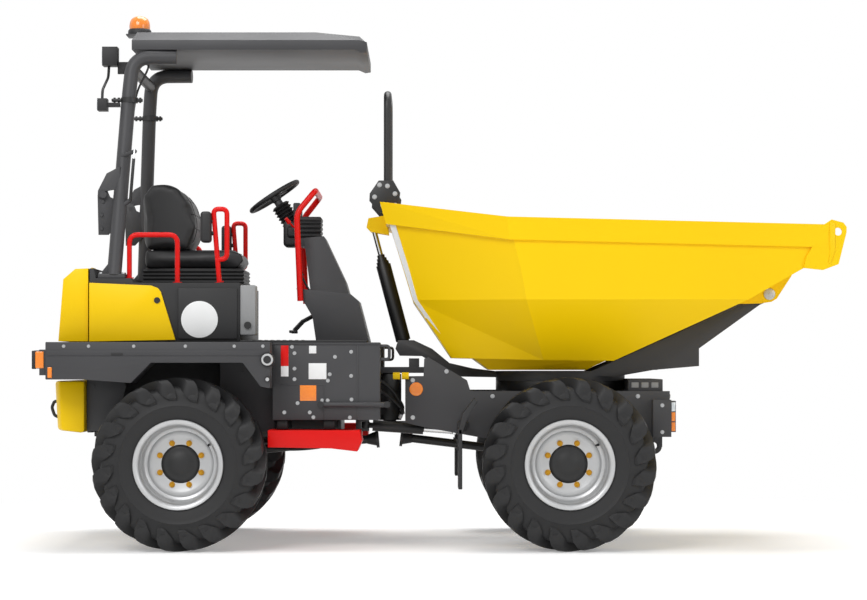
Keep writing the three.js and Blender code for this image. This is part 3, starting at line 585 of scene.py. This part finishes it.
for side, s in sides.items():
    z = 2500
    x, y = barAt(z)[0] + 6, s * 506
    cylinder(work, mm(x, y, z - 14), mm(x, y, z + 14), 0.048, 32)
    softBlock(work, mm(x - 100, y - 14, z - 9), mm(x + 74, y + 14, z + 9), 0.004)
    for dx in (-84, -60, 60):
        cylinder(work, mm(x + dx, y, z - 15), mm(x + dx, y, z + 15), 0.007, 6)
piece("rollBarClamps", work, "roll_bar", "blackChassisEnamel")
work = bmesh.new()
route = [(-1660, -450, 2780), (-1640, -430, 2700), (-1700, -440, 2560), (-1722, -470, 2420),
         (-1738, -500, 2300)]
sweep(work, smoothRoute([mm(*p) for p in route], 8), 0.006, 10)
piece("lampCable", work, "roll_bar", "blackMouldedPlastic", 40)
print("tube work finished")

# skip: painted highlight down the rear corners, drawn as pale strips where the flanges catch the white
# surroundings; ribs on the front ears, ends of the tip pins
skipFacts = {"rear": [(-284, 420, 1811), (-195, 408, 1530), (-151, 400, 1383), (68, 330, 1072)],
             "quarter": [(378, 842, 1700), (445, 838, 1540), (475, 830, 1375), (580, 560, 1052)],
             "strip": [44, 38, 34, 26]}
for side, s in sides.items():
    work = bmesh.new()
    rows = []
    for rear, quarter, width in zip(skipFacts["rear"], skipFacts["quarter"], skipFacts["strip"]):
        a = Vector(mm(rear[0], s * rear[1], rear[2]))
        b = Vector(mm(quarter[0], s * quarter[1], quarter[2]))
        along = (b - a).normalized()
        rows.append((a + along * 0.004, a + along * (width / 1000)))
    inner, outer = [], []
    for i, (p, q) in enumerate(rows):
        other = rows[min(i + 1, len(rows) - 1)][0] - rows[max(i - 1, 0)][0]
        normal = (q - p).cross(other).normalized()
        if normal.y * s < 0:
            normal.negate()
        inner.append((work.verts.new(p - normal * 0.001), work.verts.new(q - normal * 0.001)))
        outer.append((work.verts.new(p + normal * 0.0016), work.verts.new(q + normal * 0.0016)))
    for i in range(len(rows) - 1):
        work.faces.new((outer[i][0], outer[i][1], outer[i + 1][1], outer[i + 1][0]))
        work.faces.new((inner[i][0], inner[i + 1][0], inner[i + 1][1], inner[i][1]))
        work.faces.new((outer[i][0], outer[i + 1][0], inner[i + 1][0], inner[i][0]))
        work.faces.new((outer[i][1], inner[i][1], inner[i + 1][1], outer[i + 1][1]))
    work.faces.new((outer[0][0], inner[0][0], inner[0][1], outer[0][1]))
    work.faces.new((outer[-1][0], outer[-1][1], inner[-1][1], inner[-1][0]))
    # painted highlight: a pale band laid on the rear corner flange where it catches the light
    piece(f"skipCornerPaintedHighlight_{side}", work, "skip_body", "whiteSignFoilAndPaintedHighlight")

    # welded stiffening rib on the front ear, and the hinge pin's washer and bolt
    work = bmesh.new()
    plate(work, [(2122, 1575), (2134, 1572), (2158, 1640), (2160, 1790), (2128, 1798), (2130, 1640)],
          s * 857, s * 864, 2)
    piece(f"skipEarRib_{side}", work, "skip_body", "yellowSprayEnamel")
    work = bmesh.new()
    lathe(work, [(0, 371), (20, 371), (31, 368.5), (33, 366), (33, 362.5), (0, 362.5)],
          mm(1870, 0, 1418), s, 40)
    hexBolt(work, mm(1870, s * 371, 1418), (0, s, 0), 0.006)
    piece(f"tipPinEnd_{side}", work, "swivel_frame", "silverRimLacquer", 30)
print("skip finished")

# turned shapes on an upright axis


def latheUp(work, profile, centre, steps=48):
    rings = []
    for step in range(steps):
        a = 2 * math.pi * step / steps
        rings.append([work.verts.new(mm(centre[0] + r * math.cos(a), centre[1] + r * math.sin(a), z))
                      for r, z in profile])
    for a, b in zip(rings, rings[1:] + rings[:1]):
        for i in range(len(profile) - 1):
            work.faces.new((a[i], b[i], b[i + 1], a[i + 1]))
    bmesh.ops.remove_doubles(work, verts=work.verts[:], dist=1e-6)


# beacon: ribbed amber lens on a black moulded base
beaconFacts = {"centre": (-1705, -300), "foot": 2892.3, "steps": 72, "rib": 0.0016}
work = bmesh.new()
foot = beaconFacts["foot"]
latheUp(work, [(0, foot), (66, foot), (67, foot + 4), (66, foot + 24), (60, foot + 33), (0, foot + 33)],
        beaconFacts["centre"])
base = piece("beaconBase", work, bodyOf("beacon"), "blackMouldedPlastic")
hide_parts("beacon")
work = bmesh.new()
latheUp(work, [(0, foot + 33), (57, foot + 33), (59, foot + 42), (58.5, foot + 58), (55, foot + 76),
               (47, foot + 91), (34, foot + 102), (17, foot + 107.5), (0, foot + 109)],
        beaconFacts["centre"], beaconFacts["steps"])
for vert in work.verts:
    if foot + 40 < vert.co.z * 1000 < foot + 92:
        away = vert.co - Vector(mm(*beaconFacts["centre"], vert.co.z * 1000))
        step = round(math.atan2(away.y, away.x) / (2 * math.pi / beaconFacts["steps"]))
        vert.co -= away.normalized() * (beaconFacts["rib"] if step % 2 else 0)
piece("beaconLens", work, bodyOf("beacon"), "amberAcrylic", 50)

# work lamp lenses, facing back and outward
work = bmesh.new()
softBlock(work, mm(-1917, -336, 2728), mm(-1912, -264, 2811), 0.002)
softBlock(work, mm(-1916, -549, 2446), mm(-1911, -481, 2501), 0.002)
piece("workLampLenses", work, bodyOf("work_lights"), "clearLampGlass")

# tail lamps, reflectors, lashing hooks and mud flaps
for side, s in sides.items():
    work = bmesh.new()
    sideBlock(work, s, (-2216.9, -2210), (762, 838), (1003, 1089), 0.003)
    sideBlock(work, s, (-2197, -2150), (902, 941), (998, 1090), 0.006)
    sideBlock(work, s, (-2128, -2104), (948, 955), (946, 1004), 0.003)
    piece(f"rearAmberLens_{side}", work, "rear_frame", "amberAcrylic")
    work = bmesh.new()
    sideBlock(work, s, (-2216, -2196), (898, 938), (994, 1094), 0.004)
    piece(f"tailLampBody_{side}", work, "rear_frame", "blackMouldedPlastic")
    work = bmesh.new()
    lathe(work, [(0, 427), (30, 427), (37, 425), (39, 422), (39, 419.8), (0, 419.8)],
          mm(-131, 0, 880), s, 40)
    for z0, z1 in ((645, 695), (701, 751)):
        sideBlock(work, s, (1300, 1322), (509, 513 if s > 0 else 511), (z0, z1), 0.001)
    piece(f"frontAmberReflector_{side}", work, "front_frame", "amberAcrylic")
    work = bmesh.new()
    sideBlock(work, s, (1300, 1322), (509, 513), (757, 807), 0.001)
    piece(f"frontClearLens_{side}", work, "front_frame", "clearLampGlass")
    work = bmesh.new()
    hook = [(-2112, 720), (-2150, 735), (-2165, 780), (-2150, 815), (-2128, 812)]
    sweep(work, [mm(x, s * 560, z) for x, z in hook], 0.009, 12, 0.012, 4)
    piece(f"lashingHook_{side}", work, "rear_frame", "blackChassisEnamel", 40)
for side, s in sides.items():
    work = bmesh.new()
    low, high = sorted((s * 690, s * 930))
    softBlock(work, mm(100, low, 340), mm(122, high, 668), 0.004)
    plate(work, [(96, 640), (122, 640), (150, 738), (206, 816), (190, 836), (124, 752)], low, high, 3)
    plate(work, [(96, 650), (150, 650), (160, 700), (104, 700)], s * 421, s * 700, 3)
    for yy in (740, 880):
        for z in (600, 560):
            cylinder(work, mm(92, s * yy, z), mm(101, s * yy, z), 0.010, 6)
    flap = piece(f"mudFlap_{side}", work, bodyOf("mudguard_" + side), "blackMouldedPlastic", 30)
    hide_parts("mudguard_" + side)
print("lamps finished")

# bolts and small fittings on the near and far boxes: position in X and Z, on the face at Y
boxFittings = {
    "bolts": [(-488, 1089), (-488, 956), (-486, 826), (-800, 1081), (-800, 996), (-800, 938), (-814, 1116),
              (-577, 1061), (-606, 965), (-616, 930), (-856, 755), (-716, 755), (-696, 728), (-647, 821),
              (-617, 821), (-783, 806), (-495, 727)],
    "wingBolts": [(-1115, 1118), (-1380, 1118), (-1660, 1118), (-1905, 1118), (-960, 1118), (-2040, 1118)],
}
for side, s in sides.items():
    body = "rear_frame"
    work = bmesh.new()
    sideBolts(work, s, 740, boxFittings["bolts"], 0.0085)
    sideBolts(work, s, 950, boxFittings["wingBolts"], 0.0075)
    piece(f"boxBolts_{side}", work, body, "zincPlatedSteel", 30)

    # return flange along the wing, its slot, the box seams and the filler cap
    work = bmesh.new()
    plate(work, rectangle(-2130, -930, 1068, 1096), s * 949, s * 954, 1.5)
    plate(work, rectangle(-2130, -930, 1068, 1062), s * 949, s * 951.5, 1)
    piece(f"wingFlange_{side}", work, body, "greyPowderCoat")
    work = bmesh.new()
    plate(work, rectangle(-1783, -1718, 1068, 1082), s * 953, s * 955.5, 1)
    piece(f"wingSlot_{side}", work, body, "blackMouldedPlastic")
    work = bmesh.new()
    plate(work, rectangle(-920, -330, 1128, 1140), s * 739, s * 745, 1.5)
    plate(work, rectangle(-456, -446, 716, 1127), s * 739, s * 743, 1.5)
    plate(work, [(-640, 716), (-640, 905), (-880, 905), (-880, 912), (-633, 912), (-633, 716)],
          s * 739, s * 742.5, 1)
    piece(f"boxSeams_{side}", work, body, "greyPowderCoat")
    work = bmesh.new()
    cylinder(work, mm(-935, s * 949, 1045), mm(-935, s * 962, 1045), 0.040, 40)
    cylinder(work, mm(-935, s * 961, 1045), mm(-935, s * 974, 1045), 0.033, 10)
    cylinder(work, mm(-935, s * 949, 938), mm(-935, s * 960, 938), 0.016, 24)
    piece(f"fillerCap_{side}", work, body, "blackMouldedPlastic", 30)
    work = bmesh.new()
    lathe(work, [(20, 972), (22, 977), (31, 977), (33, 972), (20, 972)], mm(-935, 0, 1045), s, 40)
    cylinder(work, mm(-935, s * 959, 938), mm(-935, s * 963, 938), 0.010, 20)
    piece(f"fillerRing_{side}", work, body, "silverRimLacquer", 30)

    # inner splash panels that close the arch and the tail
    work = bmesh.new()
    plate(work, [(-1225, 640), (-1225, 1040), (-1060, 1060), (-921.5, 1060), (-921.5, 655), (-960, 640)],
          s * 560, s * 566, 1.5)
    plate(work, [(-1958, 650), (-1958, 1000), (-1800, 1000), (-1740, 900), (-1800, 650)],
          s * 640, s * 646, 1.5)
    sideBolts(work, s, 646, ((-1920, 900), (-1850, 700)), 0.009)
    sideBolts(work, s, 566, ((-1100, 980), (-1100, 700)), 0.009)
    piece(f"splashPanels_{side}", work, body, "greyPowderCoat", 30)

# blank signs, the round one, the cover panels and their fasteners, and the yellow coupling caps
signs = [("orangeSign", "amberAcrylic", (-770, 819, -680, 910)),
         ("whiteSign", "whiteSignFoilAndPaintedHighlight", (-722, 938, -624, 1026)),
         ("tallWhiteSign", "whiteSignFoilAndPaintedHighlight", (-875, 953, -833, 1124)),
         ("smallWhiteSign", "whiteSignFoilAndPaintedHighlight", (-720, 1080, -680, 1122))]
for name, coat, (x0, z0, x1, z1) in signs:
    work = bmesh.new()
    softBlock(work, mm(x0, -741.6, z0), mm(x1, -739.8, z1), 0.0007)
    piece(name, work, "rear_frame", coat, 35)
work = bmesh.new()
softBlock(work, mm(-875, -742.2, 1010), mm(-833, -741, 1124), 0.0005)
piece("tallSignRedBand", work, "rear_frame", "redPowderCoat")
work = bmesh.new()
lathe(work, [(0, 758), (98, 758), (101, 757), (101, 754.5), (0, 754.5)], mm(-1322, 0, 1267), -1, 64)
piece("roundBlankSign", work, "rear_frame", "whiteSignFoilAndPaintedHighlight", 30)
for name, s in (("sideCoverPanel", -1), ("sideCoverPanelFar", 1)):
    work = bmesh.new()
    plate(work, rectangle(-1440, -1115, 1160, 1440), s * 734, s * 754.7, 5)
    piece(name, work, "rear_frame", "blackMouldedPlastic")
work = bmesh.new()
for s in sides.values():
    cylinder(work, mm(-1555, s * 754, 1372), mm(-1555, s * 760, 1372), 0.017, 24)
cylinder(work, mm(-1058, -734, 1235), mm(-1058, -748, 1235), 0.020, 24)
for x in (-655, -290):
    cylinder(work, mm(x, -739, 798), mm(x, -768, 798), 0.018, 20)
piece("panelFasteners", work, "rear_frame", "blackMouldedPlastic", 30)
work = bmesh.new()
for x0, x1 in ((-262, -222), (-212, -172)):
    cylinder(work, mm(x0, -432, 955), mm(x1, -432, 955), 0.020, 24)
piece("couplingCaps", work, "front_frame", "yellowSprayEnamel", 30)
print("box fittings finished")

# steering wheel: moulded grip, three spokes and hub boss
wheelHand = {"x": -957, "z": 1996, "radius": 156, "grip": 13.5, "tilt": 32.8}
work = bmesh.new()
ringSteps, gripSteps = 72, 16
rings = []
for i in range(ringSteps):
    a = 2 * math.pi * i / ringSteps
    ring = []
    for k in range(gripSteps):
        b = 2 * math.pi * k / gripSteps
        reach = wheelHand["radius"] + wheelHand["grip"] * math.cos(b)
        lift = wheelHand["grip"] * math.sin(b)
        ring.append(work.verts.new(mm(reach * math.cos(a), reach * math.sin(a), lift)))
    rings.append(ring)
for a, b in zip(rings, rings[1:] + rings[:1]):
    for k in range(gripSteps):
        work.faces.new((a[k], b[k], b[(k + 1) % gripSteps], a[(k + 1) % gripSteps]))
cylinder(work, mm(0, 0, -29), mm(0, 0, 14), 0.031, 32)
cylinder(work, mm(0, 0, 14), mm(0, 0, 20), 0.031, 32, 0.024)
for turn in (90, 210, 330):
    before = set(work.verts)
    softBlock(work, mm(0, -13, -5), mm(150, 13, 5), 0.003)
    new = [v for v in work.verts if v not in before]
    bmesh.ops.rotate(work, verts=new, cent=(0, 0, 0), matrix=Matrix.Rotation(math.radians(turn + 90), 3, "Z"))
lean = Matrix.Rotation(math.radians(-wheelHand["tilt"]), 4, "Y")
tilt = Matrix.Translation(mm(wheelHand["x"], 0, wheelHand["z"])) @ lean
bmesh.ops.transform(work, matrix=tilt, verts=work.verts[:])
handWheel = piece("steeringHandWheel", work, bodyOf("steering_wheel"), "blackMouldedPlastic", 40)
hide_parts("steering_wheel")

# console: bellows round the column, switch plate, lower pod, levers and pedals
work = bmesh.new()
levels = []
for i in range(9):
    z = 1749 + i * 12.5
    reach = 8 if i % 2 else 0
    levels.append([work.verts.new(mm(x + dx * reach * 0.6, y * (110 + reach), z)) for x, y, dx in
                   ((-800, -1, -1), (-684, -1, 1), (-684, 1, 1), (-800, 1, -1))])
skin(work, levels)
softBlock(work, mm(-806, -118, 1845), mm(-680, 118, 1872), 0.009, 3)
piece("columnBellows", work, "rear_frame", "blackMouldedPlastic")
work = bmesh.new()
for s in sides.values():
    sideBlock(work, s, (-842, -800), (36, 118), (1862, 1952), 0.008)
softBlock(work, mm(-836, -60, 1768), mm(-790, 60, 1856), 0.010, 3)
piece("switchPlate", work, "rear_frame", "blackMouldedPlastic")
work = bmesh.new()
sweep(work, [mm(-812, -112, 1800), mm(-840, -150, 1812), mm(-866, -172, 1840)], 0.006, 12)
cylinder(work, mm(-862, -169, 1834), mm(-880, -184, 1858), 0.013, 20, 0.010)
piece("directionLever", work, "rear_frame", "redPowderCoat")
work = bmesh.new()
for y in (-150, 60):
    sweep(work, [mm(-730, y, 1300), mm(-790, y, 1268), mm(-838, y, 1216)], 0.008, 12)
    softBlock(work, mm(-862, y - 34, 1200), mm(-826, y + 34, 1216), 0.004)
sweep(work, [mm(-726, -232, 1420), mm(-760, -240, 1470), mm(-788, -244, 1530)], 0.006, 12)
cylinder(work, mm(-784, -243, 1524), mm(-796, -245, 1548), 0.014, 20, 0.010)
piece("pedalsAndLever", work, "rear_frame", "blackMouldedPlastic")
work = bmesh.new()
for row in range(9):
    for column in range(14):
        x, y = -1040 + row * 34, -650 + column * 100
        softBlock(work, mm(x, y, 1152.4), mm(x + 16, y + 56, 1155.5), 0.001)
piece("deckTreadBars", work, "rear_frame", "blackMouldedPlastic")

# folded rubber sleeve up the tilted column, with the indicator pod below it
axis = Vector((math.sin(math.radians(wheelHand["tilt"])), 0, -math.cos(math.radians(wheelHand["tilt"]))))
head = Vector(mm(wheelHand["x"], 0, wheelHand["z"]))
work = bmesh.new()
for fold in range(7):
    near = head + axis * (0.058 + fold * 0.021)
    cylinder(work, near, near + axis * 0.0105, 0.044, 40, 0.056)
    cylinder(work, near + axis * 0.0105, near + axis * 0.021, 0.056, 40, 0.044)
piece("columnSleeve", work, "rear_frame", "blackMouldedPlastic", 30)
work = bmesh.new()
softBlock(work, mm(-902, -76, 1700), mm(-798, 76, 1852), 0.022, 3)
softBlock(work, mm(-880, -92, 1752), mm(-812, 92, 1818), 0.016, 3)
piece("columnPod", work, "rear_frame", "blackMouldedPlastic")
print("controls finished")

# seat: vinyl over foam, blown up a little as cloth, then sewn lines laid on it
seatFacts = {"voxel": 0.006, "pressure": 2.2, "frames": 20, "shrink": 0.975, "cap": 0.012, "fill": 0.8,
             "piping": 0.0035, "corner": 0.026, "stretch": 25, "bend": 6, "calm": 26}


def softPad(node, name):
    obj = placed(name, frame["nodes"][node].data.copy())
    low, high = (Vector(corner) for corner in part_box(node))
    middle = (low + high) / 2
    for vert in obj.data.vertices:
        vert.co = middle + (vert.co - middle) * seatFacts["shrink"]
    edge = obj.modifiers.new("corners", "BEVEL")
    edge.width = seatFacts["corner"]
    edge.segments = 4
    edge.limit_method = "ANGLE"
    remesh = obj.modifiers.new("even", "REMESH")
    remesh.mode = "VOXEL"
    remesh.voxel_size = seatFacts["voxel"]
    bpy.context.view_layer.update()
    applied(obj)
    start = [v.co.copy() for v in obj.data.vertices]
    cloth = obj.modifiers.new("cloth", "CLOTH")
    cloth.settings.use_pressure = True
    cloth.settings.uniform_pressure_force = seatFacts["pressure"]
    cloth.settings.effector_weights.gravity = 0
    cloth.settings.tension_stiffness = seatFacts["stretch"]
    cloth.settings.compression_stiffness = seatFacts["stretch"]
    cloth.settings.bending_stiffness = seatFacts["bend"]
    cloth.point_cache.frame_start = 1
    cloth.point_cache.frame_end = seatFacts["frames"]
    for number in range(1, seatFacts["frames"] + 1):
        bpy.context.scene.frame_set(number)
    applied(obj)
    bpy.context.scene.frame_set(1)
    for vert, before in zip(obj.data.vertices, start):
        move = vert.co - before
        if move.length > seatFacts["cap"]:
            move = move.normalized() * seatFacts["cap"]
        at = before + move
        vert.co = Vector((min(max(at[i], low[i]), high[i]) for i in range(3)))
    calm = obj.modifiers.new("calm", "SMOOTH")
    calm.iterations = seatFacts["calm"]
    bpy.context.view_layer.update()
    applied(obj)
    for poly in obj.data.polygons:
        poly.use_smooth = True
    settle(obj, bodyOf(node), "embossedSeatVinyl")
    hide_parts(node)
    return obj


def seam(obj, name, starts, direction):
    # piping laid on the pad where rays from starts meet it
    bpy.context.view_layer.update()
    hits = []
    for start in starts:
        found, place, _, _ = obj.ray_cast(Vector(start), Vector(direction))
        if found:
            hits.append(place)
    if len(hits) > 3:
        work = bmesh.new()
        sweep(work, hits, seatFacts["piping"], 10)
        piece(name, work, obj["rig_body"], "blackMouldedPlastic", 40)


cushion = softPad("seat_cushion", "seatCushion")
backrest = softPad("seat_backrest", "seatBackrest")
spread = [(-0.215 + 0.43 * i / 30) for i in range(31)]
for index, z in enumerate((1.80, 1.88, 1.96)):
    seam(backrest, f"backrestSeam_{index}", [(-1.2, y, z) for y in spread], (-1, 0, 0))
for index, y in enumerate((-0.16, 0.16)):
    upright = [(-1.2, y, 1.72 + 0.28 * i / 24) for i in range(25)]
    level = [(-1.62 + 0.46 * i / 24, y, 1.9) for i in range(25)]
    seam(backrest, f"backrestSideSeam_{index}", upright, (-1, 0, 0))
    seam(cushion, f"cushionSideSeam_{index}", level, (0, 0, -1))
for index, x in enumerate((-1.42, -1.30)):
    seam(cushion, f"cushionSeam_{index}", [(x, y, 1.9) for y in spread if abs(y) < 0.158], (0, 0, -1))
print("seat finished")

# seat suspension: folded rubber boot above the slide rails
work = bmesh.new()
levels = []
for i in range(9):
    z = 1480 + i * 10.5
    grow = 7 if i % 2 else 0
    levels.append([work.verts.new(mm(x, y, z)) for x, y in
                   ((-1690 - grow, -224 - grow), (-1122 + grow, -224 - grow), (-1122 + grow, 224 + grow),
                    (-1690 - grow, 224 + grow))])
skin(work, levels)
piece("seatBoot", work, "rear_frame", "blackMouldedPlastic")

# hood louvres and latch, front frame bolts, and the box across the front frame with its slots
hoodFacts = {"rear": -2102, "slope": 27 / 342, "low": 1147, "slats": 7, "pitch": 30, "from": 1210,
             "half": 300}
work = bmesh.new()
for n in range(hoodFacts["slats"]):
    z = hoodFacts["from"] + n * hoodFacts["pitch"]
    x = hoodFacts["rear"] + hoodFacts["slope"] * (z - hoodFacts["low"])
    for s in sides.values():
        low, high = sorted((s * 14, s * hoodFacts["half"]))
        plate(work, [(x + 3, z - 7), (x - 7, z - 7), (x - 2, z + 7), (x + 4, z + 7)], low, high, 1)
piece("hoodLouvres", work, bodyOf("rear_hood"), "blackMouldedPlastic", 30)
work = bmesh.new()
softBlock(work, mm(-2093, -45, 1440), mm(-2070, 45, 1468), 0.005)
for s in sides.values():
    cylinder(work, mm(-2086, s * 420, 1330), mm(-2094, s * 420, 1330), 0.022, 24)
piece("hoodLatch", work, bodyOf("rear_hood"), "blackMouldedPlastic")
work = bmesh.new()
for s in sides.values():
    for y, z in ((150, 840), (360, 840), (150, 660), (360, 660)):
        hexBolt(work, mm(1300, s * y, z), (1, 0, 0), 0.011)
    sideBolts(work, s, 420, ((-150, 720), (-150, 930), (40, 980), (300, 840), (560, 840), (860, 840),
                             (1120, 840), (330, 640)), 0.010)
    sideBolts(work, s, 520, ((1248, 640), (1248, 790)), 0.009)
piece("frontFrameBolts", work, "front_frame", "zincPlatedSteel", 30)
work = bmesh.new()
softBlock(work, mm(1067, -396, 866), mm(1263, 396, 936), 0.004)
piece("frontCrossBox", work, "front_frame", "greyPowderCoat", 30)
work = bmesh.new()
for s in sides.values():
    for x0 in (1086, 1142, 1198):
        sideBlock(work, s, (x0, x0 + 40), (395, 399), (888, 918), 0.002)
piece("crossBoxSlots", work, "front_frame", "lightGreyMouldedPlastic", 30)

# drive shafts under the frames, with a flange at the axle and a joint fork at the middle
shaftFacts = {"front_frame": ((583, 0, 500), (-225, 0, 598)), "rear_frame": ((-1298, 0, 500), (-350, 0, 590))}
for body, (axleEnd, jointEnd) in shaftFacts.items():
    a, b = Vector(mm(*axleEnd)), Vector(mm(*jointEnd))
    along = (b - a).normalized()
    work = bmesh.new()
    cylinder(work, a - along * 0.04, b, 0.024, 32)
    cylinder(work, a, a + along * 0.018, 0.058, 32)
    cylinder(work, a + along * 0.018, a + along * 0.06, 0.040, 32, 0.026)
    cylinder(work, b - along * 0.07, b - along * 0.016, 0.026, 32, 0.042)
    cylinder(work, b - along * 0.016, b, 0.054, 32)
    for n in range(4):
        turn = math.pi / 2 * n + math.pi / 4
        spot = Vector((0, math.cos(turn), math.sin(turn))) * 0.045
        cylinder(work, a + spot, a + spot + along * 0.028, 0.007, 6)
    piece(f"driveShaft_{body}", work, body, "blackChassisEnamel", 30)

# hydraulic hoses: fixed runs along each frame, with crimped ends


def bothSides(run):
    return [[(x, s * y, z) for x, y, z in run] for s in sides.values()]


hoseRuns = {
    "rear_frame": bothSides([(-1150, 330, 560), (-1000, 345, 545), (-800, 350, 540), (-640, 345, 560),
                             (-575, 300, 600)])
    + [[(-1100, -300, 590), (-950, -310, 575), (-760, -312, 575), (-590, -290, 595)]],
    "yoke": [[(-430, -96, 905), (-360, -132, 930), (-280, -140, 880), (-226, -132, 800), (-210, -110, 735)],
             [(-430, -110, 860), (-350, -150, 870), (-270, -150, 820), (-214, -138, 760), (-226, -104, 715)],
             [(-430, 104, 890), (-350, 145, 905), (-270, 148, 850), (-214, 134, 775), (-226, 104, 725)]],
    "front_frame": bothSides([(-50, 330, 700), (60, 360, 660), (250, 370, 640), (480, 372, 650),
                              (560, 360, 700)]),
}
for body, runs in hoseRuns.items():
    work = bmesh.new()
    ends = bmesh.new()
    for run in runs:
        line = smoothRoute([mm(*p) for p in run], 8)
        sweep(work, line, 0.010, 12)
        for a, b in ((line[0], line[1]), (line[-1], line[-2])):
            cylinder(ends, a, a + (b - a).normalized() * 0.03, 0.013, 16)
    piece(f"hoses_{body}", work, body, "blackMouldedPlastic", 40)
    piece(f"hoseEnds_{body}", ends, body, "zincPlatedSteel")
print("hoses finished")

# stage: pale floor that keeps the shadow, white surroundings seen by the camera and by reflections
stageFacts = {"floor": "F7F7F7", "lift": 0.26, "near": 2.2, "far": 5.0, "surround": 0.42,
              "key": 400, "fill": 110, "top": 520}
floorMesh = bpy.data.meshes.new("floor")
floorWork = bmesh.new()
bmesh.ops.create_grid(floorWork, x_segments=4, y_segments=4, size=40)
floorWork.to_mesh(floorMesh)
floorWork.free()
floor = placed("floor", floorMesh)


def seenDirectly(tree):
    # one for rays from the camera, off metal or through glass, and nought for light on the machine
    rays = addNode(tree, "ShaderNodeLightPath")
    first = addNode(tree, "ShaderNodeMath", {"operation": "MAXIMUM"},
                    {0: rays.outputs["Is Camera Ray"], 1: rays.outputs["Is Glossy Ray"]})
    return addNode(tree, "ShaderNodeMath", {"operation": "MAXIMUM"},
                   {0: first.outputs[0], 1: rays.outputs["Is Transmission Ray"]})


paper = bpy.data.materials.new("floorPaper")
paper.use_nodes = True
tree = paper.node_tree
tree.nodes.clear()
matt = addNode(tree, "ShaderNodeBsdfDiffuse", {"Color": linearColour(stageFacts["floor"])})
direct = seenDirectly(tree)
gain = addNode(tree, "ShaderNodeMath", {"operation": "MULTIPLY", 1: stageFacts["lift"]},
               {0: direct.outputs[0]})
glow = addNode(tree, "ShaderNodeEmission", None, {"Strength": gain.outputs[0]})
both = addNode(tree, "ShaderNodeAddShader", None, {0: matt.outputs[0], 1: glow.outputs[0]})
# away from the machine the camera sees plain white, so the floor has no edge
place = addNode(tree, "ShaderNodeTexCoord")
reach = addNode(tree, "ShaderNodeVectorMath", {"operation": "LENGTH"}, {0: place.outputs["Object"]})
fade = addNode(tree, "ShaderNodeMapRange",
               {"interpolation_type": "SMOOTHSTEP", "From Min": stageFacts["near"],
                "From Max": stageFacts["far"]}, {"Value": reach.outputs["Value"]})
seen = addNode(tree, "ShaderNodeMath", {"operation": "MULTIPLY"},
               {0: fade.outputs[0], 1: direct.outputs[0]})
blank = addNode(tree, "ShaderNodeEmission")
mixed = addNode(tree, "ShaderNodeMixShader", None,
                {0: seen.outputs[0], 1: both.outputs[0], 2: blank.outputs[0]})
addNode(tree, "ShaderNodeOutputMaterial", None, {"Surface": mixed.outputs[0]})
floorMesh.materials.append(paper)

world = bpy.data.worlds.new("studio")
bpy.context.scene.world = world
world.use_nodes = True
tree = world.node_tree
tree.nodes.clear()
soft = addNode(tree, "ShaderNodeBackground", {"Color": (1, 1, 1, 1), "Strength": stageFacts["surround"]})
white = addNode(tree, "ShaderNodeBackground", {"Color": (1, 1, 1, 1), "Strength": 1.0})
pick = addNode(tree, "ShaderNodeMixShader", None,
               {0: seenDirectly(tree).outputs[0], 1: soft.outputs[0], 2: white.outputs[0]})
addNode(tree, "ShaderNodeOutputWorld", None, {"Surface": pick.outputs[0]})


def lamp(name, place, target, size, power):
    light = bpy.data.lights.new(name, "AREA")
    light.shape = "RECTANGLE"
    light.size, light.size_y = size
    light.energy = power
    obj = placed(name, light)
    obj.location = place
    obj.rotation_euler = (Vector(target) - Vector(place)).to_track_quat("-Z", "Y").to_euler()


lamp("keyLamp", (-4, -8, 7), (0, 0, 1.2), (5, 4), stageFacts["key"])
lamp("fillLamp", (6, -7, 4), (0, 0, 1.2), (4, 4), stageFacts["fill"])
lamp("topLamp", (0, 1, 8), (0, 0, 0), (6, 5), stageFacts["top"])
bpy.context.scene.view_settings.view_transform = "Standard"
print("stage finished")

bpy.context.view_layer.update()
